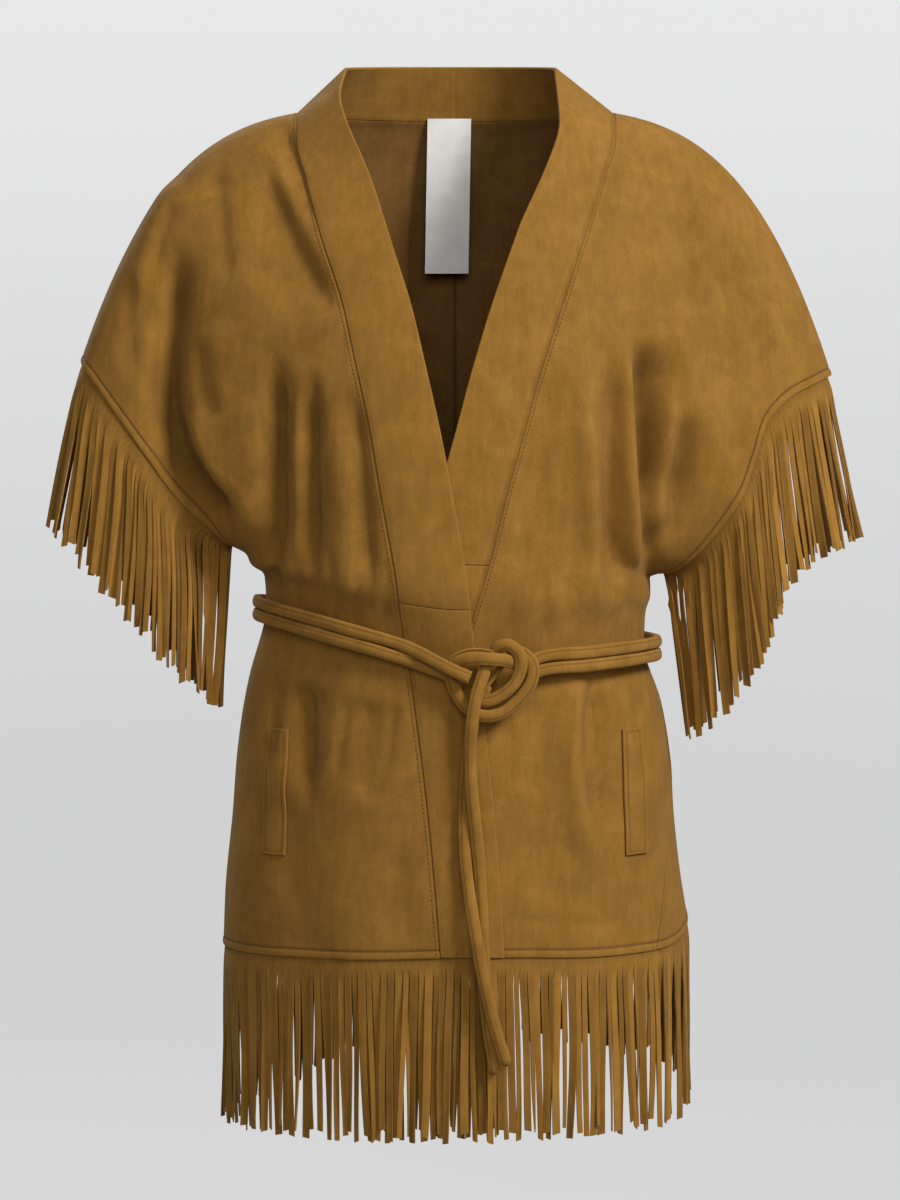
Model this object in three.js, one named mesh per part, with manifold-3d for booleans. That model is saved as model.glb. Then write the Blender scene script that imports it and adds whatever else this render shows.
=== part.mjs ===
// A wrap cape in suede: fronts and backs cut in one with short wide sleeves, a neckband that runs
// down both front edges, cut fringe at the sleeve ends and the hem, and a cord belt of its own.
// Millimetres. The wearer faces -Y, the wearer's left is +X and +Z is up.
// The origin lies midway between the shoulder points, where the wearer's shoulders carry it.

import * as THREE from 'three';
import Module from 'manifold-3d';
import { mergeVertices } from 'three/addons/utils/BufferGeometryUtils.js';

// Driving dimensions
const panelThick = 1.6;
const bandThick = 2.4;
const seamGap = 0.3;
const wrapLift = 4;
const wrapFade = { fromX: -118, wide: 42, fromZ: -232, tall: 55 };
const shoulderPointX = 121;
const napeY = 85;
const bandStand = { topZ: 44.5, topY: 68, clear: 1 };
const stripDeep = 5;
const stripGap = 0.5;
const hemFringeLong = 130;
const sleeveFringeLong = 122;
const cordWide = 9.4;
const cordDeep = 7;
const cordSides = 8;
const weltThick = 1.6;
const labelThick = 0.8;
const strandCount = { hemRight: 44, hemLeft: 26, hemBack: 52, halfSleeve: 28 };

// Tables: each row is a section, a fold or a point, and each column has a name
function table(columns, rows) {
  return Object.entries(rows).map(([name, values]) => {
    const row = { name };
    columns.forEach((column, i) => { row[column] = values[i]; });
    return row;
  });
}

// Sections of the garment from the hem up to the shoulder seam. Below the underarm a section is a
// closed ring; above it the ends part by `open` either side, which is the mouth of the sleeve.
const sectionColumns = ['frontZ', 'backZ', 'rightX', 'rightZ', 'leftX', 'leftZ', 'curve', 'backCurve',
  'frontDeep', 'backDeep', 'middleY', 'open', 'turn', 'nape'];
const sections = table(sectionColumns, {
  hem: [-640, -614, -183, -652, 183, -645, 1.2, 6, 137, 130, 22, 0, 32, 0],
  lowHip: [-592, -572, -180, -601, 177, -594, 1.4, 5, 135, 127, 20, 0, 23, 0],
  hip: [-545, -530, -175, -550, 172, -548, 1.6, 3.5, 131, 122, 18, 0, 12, 0],
  highHip: [-498, -486, -171, -495, 169, -503, 2, 2.5, 127, 115, 15, 0, 3, 0],
  belowBelt: [-458, -440, -161, -438, 161, -459, 1.4, 2, 119, 103, 10, 0, 0, 0],
  waist: [-429, -402, -147, -384, 147, -415, 0.7, 2, 112, 95, 5, 0, 0, 0],
  aboveBelt: [-398, -372, -148, -360, 148, -389, 0.9, 2, 118, 108, 3, 0, 0, 0],
  blouse: [-368, -350, -158, -350, 152, -374, 1.4, 2, 123, 113, 1, 0, 0, 0],
  underarm: [-338, -325, -163, -341, 152, -361, 2.4, 2.4, 120, 113, 0, 0, 0, 0],
  sleeveA: [-290, -285, -182, -331, 172, -354, 2.6, 2.6, 119, 112, 0, 20, 0, 0],
  sleeveB: [-240, -238, -200, -315, 190, -339, 2.8, 2.8, 116, 110, 0, 34, 0, 0.06],
  sleeveC: [-190, -190, -217, -295, 207, -317, 3, 3, 109, 105, 0, 43, 0, 0.2],
  sleeveD: [-140, -140, -235, -268, 220, -296, 3.2, 3.2, 98, 96, 0, 48, 0, 0.42],
  sleeveE: [-90, -90, -251, -245, 229, -270, 3.5, 3.5, 84, 83, 0, 48, 0, 0.65],
  sleeveF: [-50, -50, -265, -226, 238, -242, 3.8, 3.8, 66, 66, 0, 44, 0, 0.82],
  sleeveG: [-22, -22, -277, -210, 256, -222, 4, 4, 47, 48, 0, 36, 0, 0.93],
  sleeveH: [-4, -4, -286, -199, 278, -210, 4.2, 4.2, 26, 28, 0, 24, 0, 0.98],
  shoulder: [4, 4, -291, -192.5, 293, -203, 4.4, 4.4, 0, 0, 0, 0, 0, 1],
});
const levelOf = Object.fromEntries(sections.map((row, i) => [row.name, i]));
const topLevel = sections.length - 1;

// Rows of the panels, closer where the cloth turns
const panelLevels = [0, 0.6, 1.3, 2, 2.7, 3.3, 4, 4.5, 5, 5.5, 6, 6.6, 7.3, 8, 8.5, 9, 9.5, 10,
  10.5, 11, 11.5, 12, 12.5, 13, 14, 15, 16, 16.5, 17];

// The band's two edges down each front, by height
const bandColumns = ['z', 'free', 'seam'];
const rightBandEdges = table(bandColumns, {
  hem: [-660, 37, -9],
  lowHip: [-600, 34, -13.7],
  hip: [-550, 30.3, -18.2],
  highHip: [-500, 25.4, -23.5],
  belowBelt: [-450, 19.3, -29.9],
  aboveBelt: [-400, 13.4, -36.8],
  blouse: [-350, 7.4, -44.2],
  underBust: [-300, -1, -53.2],
  bust: [-250, -10.4, -62.4],
  chest: [-200, -21.6, -73.4],
  highChest: [-150, -33.7, -84.6],
  collarbone: [-100, -50, -101],
  neckFront: [-52, -66, -113],
  neckSide: [-25, -80, -120],
  shoulder: [10, -84, -121],
});
const leftBandEdges = table(bandColumns, {
  hem: [-660, -69, -21],
  lowHip: [-600, -65, -17],
  hip: [-550, -61, -13],
  highHip: [-500, -56, -8],
  belowBelt: [-450, -50, -2],
  aboveBelt: [-400, -40, 9],
  blouse: [-350, -27, 24.5],
  underBust: [-300, -14, 37],
  bust: [-250, 0, 51],
  chest: [-200, 13.4, 65],
  highChest: [-150, 28.6, 81.6],
  collarbone: [-100, 46.4, 98],
  neckFront: [-52, 66, 112],
  neckSide: [-25, 78, 120],
  shoulder: [10, 77, 121],
});

// Where the band leaves the chest and stands up beside the neck: its free edge, by level
const neckColumns = ['level', 'x', 'y', 'z'];
const rightNeckEdge = table(neckColumns, {
  collarbone: [13, -50, -86, -95],
  front: [14, -66, -68, -50],
  frontSide: [15, -81.5, -56, -14],
  side: [16, -87.5, -36, 11],
  shoulder: [17, -84, -2, 34],
});
const leftNeckEdge = table(neckColumns, {
  collarbone: [13, 47, -86, -95],
  front: [14, 69, -68, -47],
  frontSide: [15, 79, -56, -13],
  side: [16, 78, -36, 11],
  shoulder: [17, 77, -2, 34],
});
const neckLeave = { from: 12, to: 14 };
const napeSteps = 5;

// Folds: three points along each, how far it spreads on either hand of its run, and its depth.
// A depth below zero is a trough and above zero a ridge.
const foldColumns = ['x1', 'z1', 'x2', 'z2', 'x3', 'z3', 'spreadLeft', 'spreadRight', 'deep'];
const frontFolds = table(foldColumns, {
  rightSleevePleat: [-216, -100, -222, -190, -222, -262, 10, 22, -13],
  rightWeb: [-218, -226, -201, -280, -160, -320, 15, 11, -17],
  rightChestDrag: [-150, -60, -134, -115, -116, -172, 20, 18, -6],
  rightBustDrop: [-133, -195, -132, -270, -131, -350, 17, 15, -10],
  rightFrontDrop: [-106, -215, -106, -280, -104, -350, 12, 13, -6],
  rightSleeveCrease: [-206, -52, -226, -100, -240, -160, 14, 14, 6],
  rightHipGather: [-112, -436, -114, -470, -116, -520, 13, 13, -6],
  rightHipPleat: [-62, -446, -66, -480, -68, -530, 14, 14, -4],
  leftWeb: [147, -176, 151, -245, 153, -318, 10, 22, -18],
  leftSideDrop: [121, -180, 121, -280, 121, -376, 15, 14, -8],
  leftSideRidge: [99, -215, 103, -300, 107, -390, 13, 12, 5],
  leftSleeveDrop: [206, -80, 208, -160, 206, -240, 20, 18, -6],
  leftSkirtRidge: [102, -436, 88, -494, 112, -594, 14, 13, 5],
  leftSkirtTrough: [108, -438, 111, -490, 114, -555, 12, 12, -7],
  leftHipGather: [60, -445, 62, -480, 60, -525, 14, 14, -4],
});
const backFolds = table(foldColumns, {
  leftBladeDrop: [128, -150, 122, -240, 112, -350, 20, 20, -9],
  rightBladeDrop: [-130, -140, -126, -240, -116, -350, 20, 20, -10],
  leftSleeveDrop: [210, -95, 212, -170, 200, -250, 20, 20, -7],
  rightSleeveDrop: [-214, -90, -218, -165, -206, -250, 20, 20, -8],
  leftWaistGather: [62, -330, 60, -365, 57, -396, 14, 14, -6],
  rightWaistGather: [-70, -325, -66, -362, -62, -396, 14, 14, -7],
  leftSkirtDrop: [84, -412, 92, -480, 104, -580, 18, 18, -8],
  rightSkirtDrop: [-58, -412, -70, -480, -84, -570, 18, 18, -7],
});

// The tie: the two tails as they hang from the knot
const knotCentre = new THREE.Vector3(26, -125, -434);
const tailColumns = ['x', 'y', 'z'];
const frontTail = table(tailColumns, {
  knot: [23, -131, -421],
  bend: [15.5, -134, -445],
  ring: [12.6, -132, -464],
  drop: [11.4, -129.8, -488],
  thigh: [12.4, -129.4, -514],
  side: [15.4, -127, -543],
  apart: [18, -125.3, -570],
  low: [19.8, -125, -596],
  cross: [20.8, -125.4, -622],
  hem: [21.6, -126, -648],
  fringe: [23.5, -126.6, -680],
  tip: [30, -126.6, -727],
});
const backTail = table(tailColumns, {
  knot: [24, -122.5, -434],
  behind: [17, -121.6, -454],
  drop: [11, -121.4, -478],
  thigh: [8.6, -121.8, -504],
  side: [7, -123, -540],
  apart: [8, -125.8, -568],
  low: [11, -130, -594],
  cross: [15.6, -133.2, -622],
  hem: [20, -134.2, -648],
  fringe: [27, -134, -680],
  tip: [38.4, -131.5, -719.5],
});

// How often a search by trial is repeated, and how far up the back its columns start to bunch
const trialRounds = 12;
const halvings = 30;
const bunchPower = 4;

const smooth = (t) => THREE.MathUtils.smoothstep(t, 0, 1);

// Steps between the rows of a table without overshoot
function between(rows, column, at) {
  const last = rows.length - 1;
  const i = Math.min(Math.max(Math.floor(at), 0), last - 1);
  const rise = (k) => rows[k + 1][column] - rows[k][column];
  const slope = (k) => {
    if (k <= 0) return rise(0);
    if (k >= last) return rise(last - 1);
    const before = rise(k - 1);
    const after = rise(k);
    const least = Math.min(Math.abs(before), Math.abs(after), Math.abs(before + after) / 4);
    return (Math.sign(before) + Math.sign(after)) * least;
  };
  const t = Math.min(Math.max(at - i, 0), 1);
  const start = rows[i][column];
  const end = rows[i + 1][column];
  const blend = t * t * (3 - 2 * t);
  const leave = slope(i) * (t - 2 * t * t + t * t * t);
  const arrive = slope(i + 1) * (t * t * t - t * t);
  return start + (end - start) * blend + leave + arrive;
}

function sectionAt(level) {
  const row = {};
  sectionColumns.forEach((column) => { row[column] = between(sections, column, level); });
  return row;
}

// A value of a table by one of its own columns, such as height
function lookUp(rows, by, column, value) {
  let i = 0;
  while (i < rows.length - 2 && value > rows[i + 1][by]) i += 1;
  const t = (value - rows[i][by]) / (rows[i + 1][by] - rows[i][by]);
  return between(rows, column, i + Math.min(Math.max(t, 0), 1));
}

// The side seams stand forward or back of the widest place by `turn` degrees
function sideTurn(row, angle) {
  return THREE.MathUtils.degToRad(row.turn) * Math.sin(angle) ** 2;
}

// The angle at which a level has a given x, on the front or round the back
function angleAt(level, x, onFront) {
  const row = sectionAt(level);
  const middle = (row.leftX + row.rightX) / 2;
  const half = (row.leftX - row.rightX) / 2;
  const across = Math.asin(THREE.MathUtils.clamp((x - middle) / half, -1, 1));
  let angle = onFront ? across : Math.PI - across;
  const flat = angle;
  for (let i = 0; i < trialRounds; i += 1) angle = flat + sideTurn(row, angle);
  return angle;
}

// A point of the cloth before folds. Angle 0 is the middle of the front, a quarter turn is the
// side seam or the sleeve end, and a half turn is the middle of the back.
function ringPoint(angle, level) {
  const row = sectionAt(level);
  const reach = Math.abs(Math.sin(angle));
  const onFront = Math.cos(angle) >= 0;
  const middleZ = onFront ? row.frontZ : row.backZ;
  const endZ = Math.sin(angle) < 0 ? row.rightZ : row.leftZ;
  const z = middleZ + (endZ - middleZ) * reach ** (onFront ? row.curve : row.backCurve);
  const turned = angle - sideTurn(row, angle);
  const x = (row.leftX + row.rightX) / 2 + (row.leftX - row.rightX) / 2 * Math.sin(turned);
  const facing = Math.cos(turned) >= 0 ? -1 : 1;
  const deep = facing < 0 ? row.frontDeep : row.backDeep;
  const nape = facing < 0 ? 0 : row.nape * napeY * Math.sqrt(Math.max(0, 1 - (x / shoulderPointX) ** 2));
  const y = row.middleY + facing * Math.hypot(deep * Math.cos(turned), row.open * reach ** 2, nape);
  return new THREE.Vector3(x, y, z);
}

function ringNormal(angle, level) {
  const turn = 0.01;
  const step = 0.04;
  const quarter = Math.PI / 2;
  let before = angle - turn;
  let after = angle + turn;
  const side = Math.abs(Math.sin(angle)) > Math.cos(turn * 1.5);
  if (side && sectionAt(level).open > 0.01) {
    const seam = Math.sign(Math.sin(angle)) * quarter;
    const towardsFront = Math.cos(angle) > 0 ? -1 : 1;
    const inward = seam + Math.sign(seam) * towardsFront * turn * 2;
    before = Math.min(inward, angle);
    after = Math.max(inward, angle);
  }
  const along = ringPoint(after, level).sub(ringPoint(before, level));
  const up = ringPoint(angle, Math.min(level + step, topLevel));
  up.sub(ringPoint(angle, Math.max(level - step, 0)));
  const onShoulder = level > topLevel - 0.01 && Math.abs(ringPoint(angle, level).x) > shoulderPointX - 1;
  if (onShoulder) up.set(0, Math.cos(angle) > 0 ? 1 : -1, 0);
  return along.cross(up).normalize();
}

// How far the folds move a point of the cloth outwards
function foldDepth(folds, x, z) {
  let sum = 0;
  for (const fold of folds) {
    const { away, at, onLeft } = nearestOnFold(fold, x, z);
    const spread = onLeft ? fold.spreadLeft : fold.spreadRight;
    const fade = 1 - (2 * at - 1) ** 4;
    sum += fold.deep * fade * Math.exp(-((away / spread) ** 2));
  }
  return sum;
}

// The nearest place on a fold's run, as its distance, its share of the run and its side
function nearestOnFold(fold, x, z) {
  const pieces = 6;
  let best = { away: Infinity };
  for (let i = 0; i < pieces; i += 1) {
    const from = onCurve(fold, i / pieces);
    const to = onCurve(fold, (i + 1) / pieces);
    const run = { x: to.x - from.x, z: to.z - from.z };
    const reach = ((x - from.x) * run.x + (z - from.z) * run.z) / (run.x ** 2 + run.z ** 2);
    const t = THREE.MathUtils.clamp(reach, 0, 1);
    const off = { x: x - from.x - t * run.x, z: z - from.z - t * run.z };
    const away = Math.hypot(off.x, off.z);
    if (away < best.away) best = { away, at: (i + t) / pieces, onLeft: off.x * run.z - off.z * run.x > 0 };
  }
  return best;
}

// The smooth curve through a fold's three points
function onCurve(fold, t) {
  const a = (1 - t) * (1 - 2 * t);
  const b = 4 * t * (1 - t);
  const c = t * (2 * t - 1);
  return { x: a * fold.x1 + b * fold.x2 + c * fold.x3, z: a * fold.z1 + b * fold.z2 + c * fold.z3 };
}

// The right front lies over the left one below the point where they cross
function wrapOver(x, z) {
  const { fromX, wide, fromZ, tall } = wrapFade;
  return wrapLift * smooth((x - fromX) / wide) * smooth((fromZ - z) / tall);
}

// A point of the finished cloth, its middle surface moved by `lift` along the way it faces
function clothPoint(angle, level, options = {}) {
  const point = ringPoint(angle, level);
  const normal = ringNormal(angle, level);
  const onFront = Math.cos(angle) >= 0;
  let out = foldDepth(onFront ? frontFolds : backFolds, point.x, point.z) + (options.lift ?? 0);
  if (options.over) out += wrapOver(point.x, point.z);
  const moved = point.addScaledVector(normal, out);
  return { point: moved, normal };
}

// The angle at which a band edge crosses a level
function edgeAngle(edges, column, level) {
  let angle = 0;
  for (let i = 0; i < trialRounds; i += 1) {
    angle = angleAt(level, lookUp(edges, 'z', column, ringPoint(angle, level).z), true);
  }
  return angle;
}

// The level at which a band edge reaches a height
function levelAtHeight(edges, z) {
  let low = 0;
  let high = topLevel;
  for (let i = 0; i < halvings; i += 1) {
    const middle = (low + high) / 2;
    if (ringPoint(edgeAngle(edges, 'seam', middle), middle).z < z) low = middle;
    else high = middle;
  }
  return low;
}

// A closed wall from rows of points with the way that each faces
function wall(rows, thick) {
  const across = rows[0].length;
  const positions = [];
  const indices = [];
  const place = (row, column, outer) => (row * across + column) * 2 + (outer ? 0 : 1);
  for (const row of rows) {
    for (const { point, normal } of row) {
      const half = normal.clone().multiplyScalar(thick / 2);
      positions.push(...point.clone().add(half).toArray(), ...point.clone().sub(half).toArray());
    }
  }
  const face = (a, b, c, d) => indices.push(a, b, c, a, c, d);
  for (let row = 0; row + 1 < rows.length; row += 1) {
    for (let column = 0; column + 1 < across; column += 1) {
      const corner = (outer) => [place(row, column, outer), place(row, column + 1, outer),
        place(row + 1, column + 1, outer), place(row + 1, column, outer)];
      const [a, b, c, d] = corner(true);
      const [e, f, g, h] = corner(false);
      face(a, b, c, d);
      face(e, h, g, f);
    }
  }
  const top = rows.length - 1;
  for (let column = 0; column + 1 < across; column += 1) {
    const next = column + 1;
    face(place(0, column, false), place(0, next, false), place(0, next, true), place(0, column, true));
    face(place(top, column, true), place(top, next, true), place(top, next, false),
      place(top, column, false));
  }
  const last = across - 1;
  for (let row = 0; row < top; row += 1) {
    const next = row + 1;
    face(place(row, 0, true), place(next, 0, true), place(next, 0, false), place(row, 0, false));
    face(place(row, last, false), place(next, last, false), place(next, last, true),
      place(row, last, true));
  }
  const geometry = new THREE.BufferGeometry();
  geometry.setAttribute('position', new THREE.Float32BufferAttribute(positions, 3));
  geometry.setIndex(indices);
  geometry.computeVertexNormals();
  return geometry;
}

// The way each point of a plain grid faces, from its neighbours
function facing(points) {
  return points.map((row, i) => row.map((point, j) => {
    const along = row[Math.min(j + 1, row.length - 1)].clone().sub(row[Math.max(j - 1, 0)]);
    const up = points[Math.min(i + 1, points.length - 1)][j].clone().sub(points[Math.max(i - 1, 0)][j]);
    return { point, normal: along.cross(up).normalize() };
  }));
}

// Half of the seam gap as an angle at a level
function gapAngle(level) {
  const row = sectionAt(level);
  return seamGap / (row.leftX - row.rightX);
}

// The heights at which each band is joined across, and the closest that two rows may lie
const joinHeight = { right: -374, left: -348 };
const closestRows = 0.12;
const joinLevels = {
  right: levelAtHeight(rightBandEdges, joinHeight.right),
  left: levelAtHeight(leftBandEdges, joinHeight.left),
};
const allLevels = [...panelLevels, joinLevels.right, joinLevels.left].sort((a, b) => a - b);
const rowLevels = allLevels.filter((level, i) => i === 0 || level - allLevels[i - 1] > closestRows
  || Object.values(joinLevels).includes(level));

// The shoulder seam: front and back stop short of it by half of the seam gap
function shortOfShoulder(spot, level, onFront) {
  if (level > topLevel - 0.01) spot.point.y += (onFront ? -1 : 1) * seamGap / 2;
  return spot;
}

// A front, from the band seam out to the side seam and the sleeve end
function frontGrid(side) {
  const columns = 11;
  const edges = side < 0 ? rightBandEdges : leftBandEdges;
  const rows = rowLevels.map((level) => {
    const gap = gapAngle(level);
    const inner = edgeAngle(edges, 'seam', level) + side * gap;
    const outer = side * (Math.PI / 2 - gap);
    const row = [];
    for (let i = 0; i <= columns; i += 1) {
      const angle = THREE.MathUtils.lerp(inner, outer, i / columns);
      row.push(shortOfShoulder(clothPoint(angle, level, { over: side < 0 }), level, true));
    }
    return side < 0 ? row.reverse() : row;
  });
  return rows;
}

// A back, from the centre seam out to the side seam; its columns meet the band's rows at the nape
function backGrid(side) {
  const outerColumns = 6;
  const rows = rowLevels.map((level) => {
    const gap = gapAngle(level);
    const row = [];
    const rise = level / topLevel;
    const centre = Math.PI - side * gap;
    const end = Math.PI - side * (Math.PI / 2 - gap);
    for (let i = 0; i <= napeSteps; i += 1) {
      const round = Math.sin((i / napeSteps) * Math.PI / 2);
      const spread = THREE.MathUtils.lerp(i / napeSteps, round, rise ** bunchPower);
      const x = side * shoulderPointX * spread;
      row.push(i === 0 ? centre : angleAt(level, x, false));
    }
    const neckPoint = row[napeSteps];
    for (let i = 1; i <= outerColumns; i += 1) {
      row.push(THREE.MathUtils.lerp(neckPoint, end, i / outerColumns));
    }
    const spots = row.map((angle, i) => {
      const spot = clothPoint(angle, level);
      if (level > topLevel - 0.01 && i < napeSteps) spot.point.z -= seamGap;
      return i < napeSteps ? spot : shortOfShoulder(spot, level, false);
    });
    return side < 0 ? spots : spots.reverse();
  });
  return rows;
}

// The band down one front, between two levels, and on round the nape to the centre seam
function bandGrid(side, fromLevel, toLevel, roundNape) {
  const columns = 3;
  const edges = side < 0 ? rightBandEdges : leftBandEdges;
  const neckEdge = side < 0 ? rightNeckEdge : leftNeckEdge;
  const levels = rowLevels.filter((level) => level >= fromLevel - 1e-6 && level <= toLevel + 1e-6);
  const grid = levels.map((level, k) => {
    const gap = gapAngle(level);
    const seam = edgeAngle(edges, 'seam', level) - side * gap;
    const free = edgeAngle(edges, 'free', level);
    const leave = smooth((level - neckLeave.from) / (neckLeave.to - neckLeave.from));
    const seamSpot = clothPoint(seam, level, { over: side < 0 }).point;
    const freeSpot = new THREE.Vector3(...['x', 'y', 'z'].map((c) => lookUp(neckEdge, 'level', c, level)));
    seamSpot.addScaledVector(freeSpot.clone().sub(seamSpot).normalize(), leave * bandStand.clear);
    const row = [];
    for (let i = 0; i <= columns; i += 1) {
      const angle = THREE.MathUtils.lerp(seam, free, i / columns);
      const flat = clothPoint(angle, level, { over: side < 0 }).point;
      const standing = seamSpot.clone().lerp(freeSpot, i / columns);
      row.push(flat.lerp(standing, leave));
    }
    const cutShort = (k === 0 && fromLevel > 0) ? seamGap : 0;
    row.forEach((point) => { point.z += cutShort; });
    return row;
  });
  if (roundNape) {
    for (let i = 1; i <= napeSteps; i += 1) {
      const turn = (i / napeSteps) * Math.PI / 2;
      const angle = angleAt(topLevel, side * shoulderPointX * Math.cos(turn), false);
      const seamSpot = clothPoint(angle, topLevel).point;
      seamSpot.z += bandStand.clear;
      const start = neckEdge[neckEdge.length - 1];
      const freeSpot = new THREE.Vector3(
        start.x * Math.cos(turn),
        THREE.MathUtils.lerp(start.y, bandStand.topY, Math.sin(turn)),
        THREE.MathUtils.lerp(start.z, bandStand.topZ, Math.sin(turn)),
      );
      const row = [];
      for (let j = 0; j <= columns; j += 1) row.push(seamSpot.clone().lerp(freeSpot, j / columns));
      if (i === napeSteps) row.forEach((point) => { point.x = side * seamGap / 2; });
      grid.push(row);
    }
  }
  const rows = facing(side < 0 ? grid : grid.map((row) => row.reverse()));
  if (roundNape) rows[rows.length - 1].forEach(({ normal }) => normal.setX(0).normalize());
  return rows;
}

// A run of fringe: a narrow strip under an edge, with strands that share its lower line as roots.
// `edge` gives a point of the edge and the way it faces for t from 0 to 1.
const strandCuts = [{ part: 0.16, ratio: 0.8 }, { part: 1, ratio: 0.66 }];
const headTilt = 0.6;
const unevenCut = (i) => 0.035 * Math.sin(i * 2.4) + 0.02 * Math.sin(i * 5.1);
const unevenSwing = (i) => 0.9 * Math.sin(i * 1.7) + 0.5 * Math.sin(i * 4.3);
function fringe(edge, strands, long, leanAt) {
  const positions = [];
  const indices = [];
  const thin = panelThick / 2;
  const add = (...points) => points.map((point) => positions.push(...point.toArray()) / 3 - 1);
  const face = (a, b, c, d) => indices.push(a, b, c, a, c, d);
  const spots = [];
  for (let i = 0; i <= strands; i += 1) {
    const t = i / strands;
    const { point, normal } = edge(t);
    const fall = new THREE.Vector3(0, 0, -1).add(leanAt(t)).normalize();
    const tilt = normal.dot(fall);
    const half = normal.clone().addScaledVector(fall, -headTilt * tilt).normalize().multiplyScalar(thin);
    const head = point.clone().addScaledVector(fall, stripGap + headTilt * Math.abs(tilt) * thin);
    const root = head.clone().addScaledVector(fall, stripDeep);
    const ids = add(
      head.clone().add(half),
      head.clone().sub(half),
      root.clone().add(half),
      root.clone().sub(half),
    );
    spots.push({ root, half, fall, ids });
  }
  for (let i = 0; i < strands; i += 1) {
    const [headOut, headIn, rootOut, rootIn] = spots[i].ids;
    const [nextHeadOut, nextHeadIn, nextRootOut, nextRootIn] = spots[i + 1].ids;
    face(headOut, rootOut, nextRootOut, nextHeadOut);
    face(headIn, nextHeadIn, nextRootIn, rootIn);
    face(headOut, nextHeadOut, nextHeadIn, headIn);
    if (i === 0) face(headOut, headIn, rootIn, rootOut);
    if (i === strands - 1) face(nextHeadIn, nextHeadOut, nextRootOut, nextRootIn);
    const length = long * (1 + unevenCut(i));
    const fall = spots[i].fall.clone().add(spots[i + 1].fall).normalize();
    const middle = spots[i].root.clone().add(spots[i + 1].root).multiplyScalar(0.5);
    const across = spots[i + 1].root.clone().sub(spots[i].root);
    const out = spots[i].half.clone().add(spots[i + 1].half).multiplyScalar(0.5);
    let ring = [rootOut, rootIn, nextRootIn, nextRootOut];
    strandCuts.forEach(({ part, ratio }) => {
      const centre = middle.clone().addScaledVector(fall, length * part);
      centre.addScaledVector(out, unevenSwing(i) * part);
      const side = across.clone().multiplyScalar(ratio / 2);
      const next = add(
        centre.clone().sub(side).add(out),
        centre.clone().sub(side).sub(out),
        centre.clone().add(side).sub(out),
        centre.clone().add(side).add(out),
      );
      for (let c = 0; c < 4; c += 1) {
        const d = (c + 1) % 4;
        face(ring[c], ring[d], next[d], next[c]);
      }
      ring = next;
    });
    face(ring[0], ring[1], ring[2], ring[3]);
  }
  const geometry = new THREE.BufferGeometry();
  geometry.setAttribute('position', new THREE.Float32BufferAttribute(positions, 3));
  geometry.setIndex(indices);
  geometry.computeVertexNormals();
  return geometry;
}

// A run along a row of spots by its share of the whole length
function alongSpots(spots) {
  const reach = [0];
  for (let i = 1; i < spots.length; i += 1) {
    reach.push(reach[i - 1] + spots[i].point.distanceTo(spots[i - 1].point));
  }
  const whole = reach[reach.length - 1];
  return (t) => {
    let i = 0;
    while (i < spots.length - 2 && t * whole > reach[i + 1]) i += 1;
    const part = (t * whole - reach[i]) / (reach[i + 1] - reach[i]);
    return {
      point: spots[i].point.clone().lerp(spots[i + 1].point, part),
      normal: spots[i].normal.clone().lerp(spots[i + 1].normal, part).normalize(),
    };
  };
}

// Fringe along the hem, under a row of spots that runs as the cloth does
const hemLean = { right: 0, left: -0.01, back: 0.01 };
function hemFringe(spots, strands, lean) {
  const edge = alongSpots(spots);
  return fringe(edge, strands, hemFringeLong, (t) => edge(t).normal.setZ(0).normalize().multiplyScalar(lean));
}

// Fringe down one half of a sleeve mouth, short of the shoulder seam and the underarm
const mouthShort = { top: 0.02, underarm: 0.055 };
const mouthSpread = 0.02;
const underarmLean = { right: 0.07, left: 0.16 };
const sleeveLean = 0.22;
function sleeveFringe(rows, side, onFront, strands) {
  const last = (row) => (side < 0 === onFront ? row[0] : row[row.length - 1]);
  const spots = rows.filter((row, i) => rowLevels[i] >= levelOf.underarm).map(last);
  const run = alongSpots(spots);
  const upwards = side > 0 === onFront;
  const low = mouthShort.underarm;
  const high = 1 - mouthShort.top;
  const share = (t) => (upwards ? THREE.MathUtils.lerp(low, high, t) : THREE.MathUtils.lerp(high, low, t));
  const outward = side < 0 ? underarmLean.right : underarmLean.left;
  return fringe((t) => run(share(t)), strands, sleeveFringeLong, (t) => {
    const up = share(t);
    const lean = sleeveLean * up ** 1.5 + outward * (1 - up) ** 2;
    return new THREE.Vector3(side * lean, (onFront ? -1 : 1) * mouthSpread, 0);
  });
}

// A length of cord along points, with the belt's own section
function cord(points, steps) {
  const outline = new THREE.Shape();
  outline.absellipse(0, 0, cordWide / 2, cordDeep / 2, 0, Math.PI * 2, false, 0);
  const section = new THREE.Shape(outline.getPoints(cordSides).slice(0, cordSides));
  const path = new THREE.CatmullRomCurve3(points, false, 'centripetal');
  return new THREE.ExtrudeGeometry(section, { steps, bevelEnabled: false, extrudePath: path });
}

// Part of a smooth path, from one share of its length to another
function stretch(points, from, to, count) {
  const path = new THREE.CatmullRomCurve3(points, false, 'centripetal');
  const part = [];
  for (let i = 0; i <= count; i += 1) part.push(path.getPointAt(THREE.MathUtils.lerp(from, to, i / count)));
  return part;
}

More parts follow.
